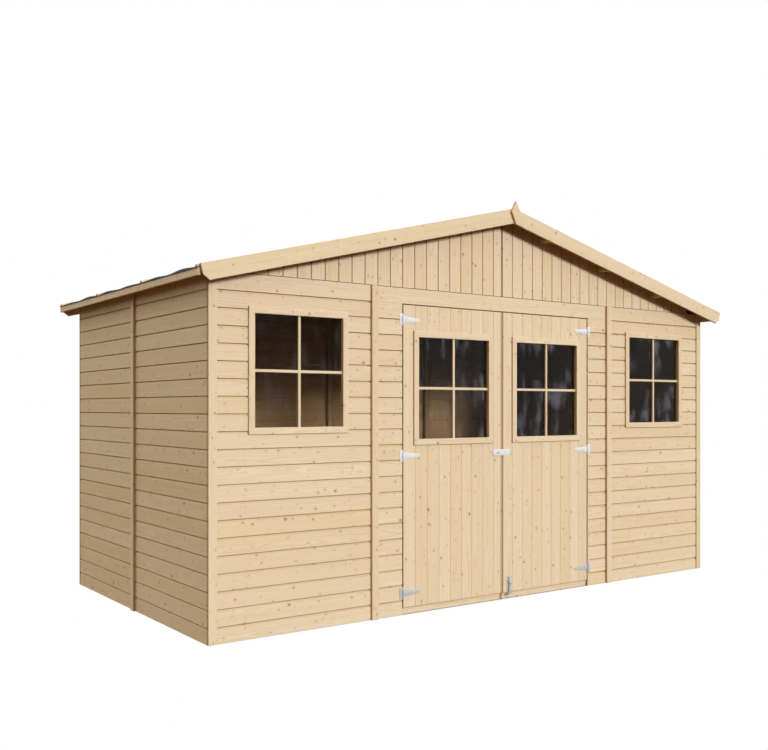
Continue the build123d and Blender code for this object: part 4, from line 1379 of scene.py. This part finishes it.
def felt_sheet(side, start, end, lift_at):
    """One sheet of felt, a few millimetres thick, from `start` to `end` off the ridge."""
    low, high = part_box("roof_felt_left")
    thick = high.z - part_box("roof_deck_left")[1].z
    at_eave = end > LAP_AT
    drift = random.Random(f"felt{side}{start}").uniform(0, math.tau)
    flat_end = end - DROOP_FROM if at_eave else end
    across = round((flat_end - start) / FELT_STEP_DOWN)
    xs = even_steps(start, flat_end, across)
    if at_eave:
        xs += [flat_end + DROOP_FROM * i / FOLD_STEPS for i in range(1, FOLD_STEPS + 1)]
    ys = even_steps(low.y, high.y, round((high.y - low.y) / FELT_STEP))

    def face_at(lift):
        """Points of one face of the sheet, `lift` above the deck."""
        def point(x, y):
            near_eave = (x / end) ** EAVE_POWER if at_eave else 0.0
            wave = WAVE_LIFT * looseness(y)
            wave *= WAVE_SHARE_UP + (1 - WAVE_SHARE_UP) * near_eave
            wave *= SWELL_LEAST + (1 - SWELL_LEAST) * math.sin(y * SWELL_RATE + drift)
            hang = max(0.0, (x - end + DROOP_FROM) / DROOP_FROM) ** 2 if near_eave else 0.0
            on_deck = under_deck(x) + deck_rise + lift
            return (side * x, y, on_deck + wave * (1 - hang) + lift_at(x) - DROOP * hang)
        return point

    bm = bmesh.new()
    add_sheet(bm, xs, ys, face_at(thick), face_at(0.0))
    return bm


# %% [markdown]
# ## Felt finish
# The face of the felt is crushed slate rolled into bitumen: specks of two greys, patches
# where more dust has stuck, and hardly any gloss. Modelled grains would be millions of faces,
# so the specks are the cells of a Voronoi texture, about a millimetre wide, and the same cells
# make its roughness and relief.

# %% Felt finish
GRIT = 900.0
GRIT_DARK, GRIT_PALE = card(26, 33, 46), card(84, 91, 106)
GRIT_HIGH, GRIT_RELIEF = 0.5 * MM, 0.8
PATCH = dict(scale=3.0, detail=5.0, Roughness=0.6)
PATCH_COLOUR, PATCH_SHARE = card(38, 44, 54), (0.35, 0.7, 0.0, 0.6)
MOTTLE = dict(scale=28.0, detail=4.0, Roughness=0.7)
MOTTLE_COLOUR, MOTTLE_SHARE = card(96, 100, 106), (0.45, 0.75, 0.0, 0.3)
SAG, SAG_DEPTH = dict(scale=5.0, detail=2.0), 2.5 * MM
FELT_ROUGH = (0.0, 1.0, 0.8, 0.95)

felt, tree, shader = new_finish("mineral_felt")
where = put(tree, "ShaderNodeTexCoord").outputs["Object"]
speck, speck_edge = speckles(tree, where, GRIT)
patch = fit(tree, noise(tree, where, **PATCH).outputs["Fac"], *PATCH_SHARE)
mottle = fit(tree, noise(tree, where, **MOTTLE).outputs["Fac"], *MOTTLE_SHARE)
colour = tint(tree, speck, GRIT_DARK, GRIT_PALE)
colour = tint(tree, patch, colour, PATCH_COLOUR)
colour = tint(tree, mottle, colour, MOTTLE_COLOUR)
grains = bumps(tree, speck_edge, GRIT_HIGH, GRIT_RELIEF)
sag = noise(tree, where, **SAG).outputs["Fac"]
feed(shader, {
    "Base Color": colour,
    "Roughness": fit(tree, speck, *FELT_ROUGH),
    "Normal": bumps(tree, sag, SAG_DEPTH, Normal=grains),
})
print("felt finish", len(tree.nodes), "nodes")


# %% Lay the felt
def lap_lift(x):
    """The upper sheet climbs a little where it starts to lie on the lower one."""
    part = max(0.0, 1 - (LAP_AT - x) / (2 * LAP_RUN))
    return LAP_RISE * part


upper_sheets = {}
for side_name, side in SIDES.items():
    node = f"roof_felt_{side_name}"
    low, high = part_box(node)
    felt_end = max(abs(low.x), abs(high.x))
    lower = felt_sheet(side, LAP_AT - LAP_RUN, felt_end, lambda x: 0.0)
    as_piece(f"{side_name}_felt_lower", lower, "shed", "felt", felt, [node])
    upper = felt_sheet(side, 0.0, LAP_AT, lap_lift)
    upper_sheets[side] = as_piece(f"{side_name}_felt_upper", upper, "shed", "felt", felt)
print("felt laid to", round(felt_end, 3), "m off the ridge")

# %% [markdown]
# ## Ridge cap
# A strip of the same felt is bent over the ridge and covers the upper edges of both sheets.
# Two flat halves would meet in a crease, so the strip follows one curve that is round at the
# ridge and almost straight further down.

# %% Ridge cap
CAP_HALF = 115 * MM
CAP_STEPS, CAP_ROWS = 14, 196
CAP_BEND = 16 * MM
CAP_T = 2.2 * MM
CAP_RIPPLE, CAP_CURL = 1.6 * MM, 4

low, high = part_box("roof_felt_left")
felt_top = high.z - ridge_z
cap_ys = even_steps(low.y, high.y, CAP_ROWS)
cap_xs = [CAP_HALF * i / CAP_STEPS for i in range(-CAP_STEPS, CAP_STEPS + 1)]


def cap_face(lift):
    """Points of one face of the cap, which bends over the ridge and lifts at its edges."""
    def point(x, y):
        bend = math.hypot(x, CAP_BEND) - CAP_BEND
        curl = CAP_RIPPLE * (x / CAP_HALF) ** CAP_CURL
        return (x, y, ridge_z - bend * slope + felt_top + lift + curl * looseness(y))
    return point


cap = bmesh.new()
add_sheet(cap, cap_xs, cap_ys, cap_face(CAP_T), cap_face(0.0))
as_piece("ridge_felt_cap", cap, "shed", "felt", felt)
print("ridge cap", len(cap_xs), "by", len(cap_ys))

# %% [markdown]
# ## Hinges, hasp and bolt
# The hardware is pressed and rolled steel with a zinc coat. It could be modelled again, but
# the CAD solids have the right shape, so they are copied, and a bevel with two steps softens
# their edges as pressing does. Zinc has faint spangles and dull patches, and near the ground,
# where rain splashes up, it turns a flat grey first. The height above the ground is all that
# the splashed part needs.

# %% Zinc finish
SPANGLE = 170.0
ZINC_TONES = card(240, 238, 236), card(250, 248, 246)
CLOUD = dict(scale=60.0, detail=4.0)
CLOUD_COLOUR, CLOUD_SHARE = card(214, 211, 206), (0.4, 0.75, 0.0, 0.35)
SPLASH_TOP, SPLASH_FULL = 0.8, 0.4
SPLASH_COLOUR, SPLASH_SHARE = card(194, 195, 192), 0.8
ZINC_ROUGH = (0.3, 0.7, 0.36, 0.56)
ZINC_METAL = 0.25
DENT, DENT_STRENGTH = 0.2 * MM, 0.5

zinc, tree, shader = new_finish("zinc_plate")
where = put(tree, "ShaderNodeTexCoord").outputs["Object"]
fleck, _ = speckles(tree, where, SPANGLE)
cloud = noise(tree, where, **CLOUD).outputs["Fac"]
above_ground = put(tree, "ShaderNodeSeparateXYZ", {0: where}).outputs["Z"]
splashed = calc(tree, "MULTIPLY", fit(tree, above_ground, SPLASH_TOP, SPLASH_FULL), SPLASH_SHARE)
colour = tint(tree, fleck, *ZINC_TONES)
colour = tint(tree, fit(tree, cloud, *CLOUD_SHARE), colour, CLOUD_COLOUR)
colour = tint(tree, splashed, colour, SPLASH_COLOUR)
feed(shader, {
    "Base Color": colour,
    "Roughness": fit(tree, cloud, *ZINC_ROUGH),
    "Metallic": ZINC_METAL,
    "Normal": bumps(tree, cloud, DENT, DENT_STRENGTH),
})
print("zinc finish", len(tree.nodes), "nodes")

# %% Hardware from the CAD solids
METAL_EASE = 0.45 * MM
METAL_ANGLE = math.radians(40)


def ironwork(name, node, body):
    """A copy of a node's metal with softened edges."""
    bm = solids_of(node)
    ease(bm, METAL_EASE, steps=2, angle=METAL_ANGLE)
    turn_outwards(bm)
    crease(bm)
    print(name, len(bm.faces), "faces")
    as_piece(name, bm, body, "zinc", zinc, [node])


ironwork("hinge_wall_plates", "hinge_plates", "shed")
ironwork("left_door_straps", "left_hinge_straps", "left_door")
ironwork("right_door_straps", "right_hinge_straps", "right_door")
ironwork("hasp_wall_plate", "hasp_plate", "right_door")
ironwork("hasp_swing_strap", "hasp_strap", "hasp")
ironwork("staple_wire", "hasp_staple", "left_door")
ironwork("bolt_plate", "bolt_guides", "right_door")
ironwork("bolt_bar", "bolt_rod", "bolt")
ironwork("keeper_angle", "bolt_keeper", "shed")

# %% [markdown]
# ## Screws
# Pan-head screws with a star recess hold each plate. A dark spot in the finish could stand for
# one, but in a low sun it would look flat. So each head is turned: rings of corners round one
# axis, up over the dome to the edge of the star and down into it. Nails are turned by the same
# helper. The plates' own sizes say where the screws go.

# %% Turned heads
def add_turned(bm, spot, out, rings):
    """A turned head from rings of (radius, height) on the point `spot`, facing `out`."""
    side = out.orthogonal().normalized()
    up = out.cross(side)
    made = []
    for ring in rings:
        turns = [math.tau * index / len(ring) for index in range(len(ring))]
        made.append([
            bm.verts.new(spot + (side * math.cos(turn) + up * math.sin(turn)) * radius + out * lift)
            for turn, (radius, lift) in zip(turns, ring)
        ])
    for row, above in zip(made, made[1:]):
        for index in range(len(row)):
            after = (index + 1) % len(row)
            bm.faces.new((row[index], row[after], above[after], above[index]))
    bm.faces.new(made[-1])
    bm.faces.new(list(reversed(made[0])))


# %% Screw heads
HEAD_R, HEAD_H = 3.4 * MM, 1.4 * MM
HEAD_SIDES = 16
DOME = ((1.0, 0.0), (0.94, 0.5), (0.74, 0.85), (0.5, 1.0))
STAR_OUT, STAR_IN, STAR_DEEP = 0.42, 0.2, 0.1
STAR_TAPER = 0.9
STAR_STEP = HEAD_SIDES // 4


def screw_rings(radius, height):
    """Rings of a domed head with a star recess."""
    star = [STAR_OUT if i % STAR_STEP == 0 else STAR_IN for i in range(HEAD_SIDES)]
    rings = [[(share, lift)] * HEAD_SIDES for share, lift in DOME]
    rings.append([(share, 1.0) for share in star])
    rings.append([(share * STAR_TAPER, STAR_DEEP) for share in star])
    return [[(radius * share, height * lift) for share, lift in ring] for ring in rings]


def heads(name, spots, out, rings, body, finish):
    """All the screws or nails of one place as one piece."""
    bm = bmesh.new()
    for spot in spots:
        add_turned(bm, Vector(spot), out, rings)
    turn_outwards(bm)
    crease(bm)
    print(name, len(spots), "heads")
    return as_piece(name, bm, body, "zinc", finish)


def screws(name, spots, body, radius=HEAD_R):
    """The screws of one fitting."""
    return heads(name, spots, -NORTH, screw_rings(radius, HEAD_H), body, zinc)


# %% Screws in the hinges
HINGE_METAL = 2.5 * MM
PLATE_HALF = 33 * MM
PIVOT_IN = 5 * MM
PLATE_SCREW_IN = 10 * MM
PLATE_SCREWS = (-24 * MM, 0.0, 24 * MM)
STRAP_SCREWS = (24 * MM, 58 * MM, 106 * MM)

hinge_low, hinge_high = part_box("hinge_plates")
hasp_low, hasp_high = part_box("hasp_plate")
middle_hinge = (hasp_low.z + hasp_high.z) / 2
hinge_heights = (hinge_low.z + PLATE_HALF, middle_hinge, hinge_high.z - PLATE_HALF)
pivot_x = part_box("right_hinge_straps")[1].x - PIVOT_IN
plate_y = front_y - HINGE_METAL

screws("hinge_plate_screws", [
    (side * (hinge_high.x - PLATE_SCREW_IN), plate_y, z + rise)
    for side in (-1, 1) for z in hinge_heights for rise in PLATE_SCREWS
], "shed")
for side_name, side in SIDES.items():
    screws(f"{side_name}_strap_screws", [
        (side * (pivot_x - along), plate_y, z) for z in hinge_heights for along in STRAP_SCREWS
    ], f"{side_name}_door")

# %% Screws in the hasp and the bolt
HASP_SCREW_IN, HASP_SCREW_PAST_KNUCKLE = 9 * MM, 19.8 * MM
BOLT_METAL = 2 * MM
BOLT_SCREW_IN, BOLT_SCREW_UP = 4.5 * MM, 34 * MM
SMALL_HEAD = 2.4 * MM

screws("hasp_screws", [
    (x, plate_y, z)
    for x in (hasp_low.x + HASP_SCREW_PAST_KNUCKLE, hasp_high.x - HASP_SCREW_IN)
    for z in (hasp_low.z + HASP_SCREW_IN, hasp_high.z - HASP_SCREW_IN)
], "right_door")
bolt_low, bolt_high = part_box("bolt_guides")
screws("bolt_screws", [
    (x, front_y - BOLT_METAL, z)
    for x in (bolt_low.x + BOLT_SCREW_IN, bolt_high.x - BOLT_SCREW_IN)
    for z in (bolt_low.z + BOLT_SCREW_UP, bolt_high.z - BOLT_SCREW_IN)
], "right_door", SMALL_HEAD)

# %% [markdown]
# ## Nails
# Every board is nailed to each stud behind it with two round-headed nails, and the cover
# battens and trims have a row of nails down their middle. There are hundreds, too many to
# place by hand, and the studs in the CAD model say where they go. A nail that would sit
# behind a window or a trim is left out.

# %% Nail finish
TARNISH = dict(scale=90.0, detail=3.0)
NAIL_BRIGHT, NAIL_DULL = card(168, 148, 118), card(132, 104, 76)
NAIL_DULLNESS, NAIL_ROUGH = (0.35, 0.7), (0.3, 0.7, 0.4, 0.6)
NAIL_METAL = 0.5

nail_steel, tree, shader = new_finish("nail_steel")
where = put(tree, "ShaderNodeTexCoord").outputs["Object"]
tarnish = noise(tree, where, **TARNISH).outputs["Fac"]
feed(shader, {
    "Base Color": tint(tree, fit(tree, tarnish, *NAIL_DULLNESS), NAIL_BRIGHT, NAIL_DULL),
    "Roughness": fit(tree, tarnish, *NAIL_ROUGH),
    "Metallic": NAIL_METAL,
})
print("nail finish", len(tree.nodes), "nodes")

# %% Where nails may go
NAIL_UP, NAIL_DOWN = 24 * MM, 26 * MM
NAIL_CLEAR = 4 * MM

stud_boxes = boxes_in("wall_studs")
trim_boxes = boxes_in("corner_trims") + boxes_in("cover_battens")
covers = trim_boxes + [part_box(node) for node in WINDOWS]


def covered(spot):
    """True where a window or a trim lies over the boards."""
    return any(
        all(low[axis] - NAIL_CLEAR < spot[axis] < high[axis] + NAIL_CLEAR for axis in range(3))
        for low, high in covers
    )


def nail_heights(top):
    """Two heights in each course."""
    heights = joints_up_to(top)
    courses = zip(heights, heights[1:])
    return [z for foot, head in courses for z in (foot + NAIL_UP, head - NAIL_DOWN)]


print("studs", len(stud_boxes), "things over the boards", len(covers))

# %% Nail heads
NAIL_R, NAIL_H = 2.1 * MM, 0.5 * MM
NAIL_ROUND, NAIL_TOP = 0.6, 0.7
NAIL_SIDES = 8
NAIL_SINK = 0.2 * MM


def nails(name, spots, out, radius=NAIL_R, finish=nail_steel):
    """The nails on one side of the shed: flat heads whose edges are a little rounded."""
    steps = ((1.0, -NAIL_SINK), (1.0, NAIL_H * NAIL_ROUND), (NAIL_TOP, NAIL_H))
    rings = [[(radius * share, lift)] * NAIL_SIDES for share, lift in steps]
    return heads(name, spots, out, rings, "shed", finish)


# %% Wall nails
TRIM_NAIL_STEP = 300 * MM
TRIM_NAIL_IN = 60 * MM
NEAR_WALL = 70 * MM

WALL_SIDES = {
    "front": (-NORTH, -front_y),
    "back": (NORTH, back_y),
    "left": (-EAST, side_x),
    "right": (EAST, side_x),
}
for wall_name, (out, face) in WALL_SIDES.items():
    run = UP.cross(out)
    spots = []
    for low, high in stud_boxes:
        middle = (low + high) / 2
        if face - middle.dot(out) > NEAR_WALL:
            continue
        for z in nail_heights(wall_high.z):
            spot = out * face + run * middle.dot(run) + UP * z
            if not covered(spot) and low.z < z < high.z:
                spots.append(spot)
    for low, high in trim_boxes:
        middle = (low + high) / 2
        if face - middle.dot(out) > NEAR_WALL or abs(middle.dot(run)) > wall_high.x + MM:
            continue
        proud = max(low.dot(out), high.dot(out))
        if proud < face + MM:
            continue
        first, last = low.z + TRIM_NAIL_IN, high.z - TRIM_NAIL_IN
        for z in even_steps(first, last, round((last - first) / TRIM_NAIL_STEP)):
            spots.append(out * proud + run * middle.dot(run) + UP * z)
    nails(f"{wall_name}_nails", spots, out)

# %% [markdown]
# ## Roof nails
# Clouts, which are nails with wide flat heads, hold the lap of the felt in a row. The felt is
# wavy there, so each clout is dropped from above to find its height on the sheet. Smaller
# nails hold the slats, and hold the bargeboards to the ends of the purlins.

# %% Roof nails
CLOUT_R = 4.5 * MM
CLOUT_STEP, CLOUT_IN = 75 * MM, 28 * MM
SLAT_NAIL_STEP, SLAT_NAIL_IN = 240 * MM, 45 * MM
BARGE_NAIL_APART = 16 * MM
ABOVE_ROOF = 3.0

for side_name, side in SIDES.items():
    uphill = Vector((side * math.sin(pitch), 0, math.cos(pitch)))
    slat_spots = []
    for low, high in boxes_in("felt_battens"):
        if (low.x + high.x) * side < 0:
            continue
        near, middle_y = min(abs(low.x), abs(high.x)), (low.y + high.y) / 2
        last = high.x - low.x - SLAT_NAIL_IN
        for down in even_steps(SLAT_NAIL_IN, last, round((last - SLAT_NAIL_IN) / SLAT_NAIL_STEP)):
            slat_spots.append((side * (near + down), middle_y, high.z - slope * down))
    nails(f"{side_name}_slat_nails", slat_spots, uphill)

    low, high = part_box(f"roof_felt_{side_name}")
    sheet = upper_sheets[side]
    clout_spots = []
    for index in range(1, int((high.y - low.y) / CLOUT_STEP)):
        y = low.y + index * CLOUT_STEP
        hit, spot, _, _ = sheet.ray_cast((side * (LAP_AT - CLOUT_IN), y, ABOVE_ROOF), -UP)
        if hit:
            clout_spots.append(spot)
    nails(f"{side_name}_lap_clouts", clout_spots, uphill, CLOUT_R, zinc)

for end_name, out in ENDS.items():
    low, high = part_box(f"{end_name}_bargeboards")
    face = max(low.dot(out), high.dot(out))
    beams = [(low + high) / 2 for low, high in boxes_in("purlins")]
    nails(f"{end_name}_barge_nails", [
        (middle.x, out.y * face, middle.z + rise)
        for middle in beams for rise in (-BARGE_NAIL_APART, BARGE_NAIL_APART)
    ], out)

# %% [markdown]
# ## Finish
# The imported frame checks that every piece rides on a body. How much the finished model
# has grown past the size of the CAD model is printed. Looks may not change the size.

# %% Sizes and finish
new_low, new_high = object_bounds()
growth = (new_high - new_low) - (cad_high - cad_low)
print("grown by", [round(part / MM, 1) for part in growth], "mm")
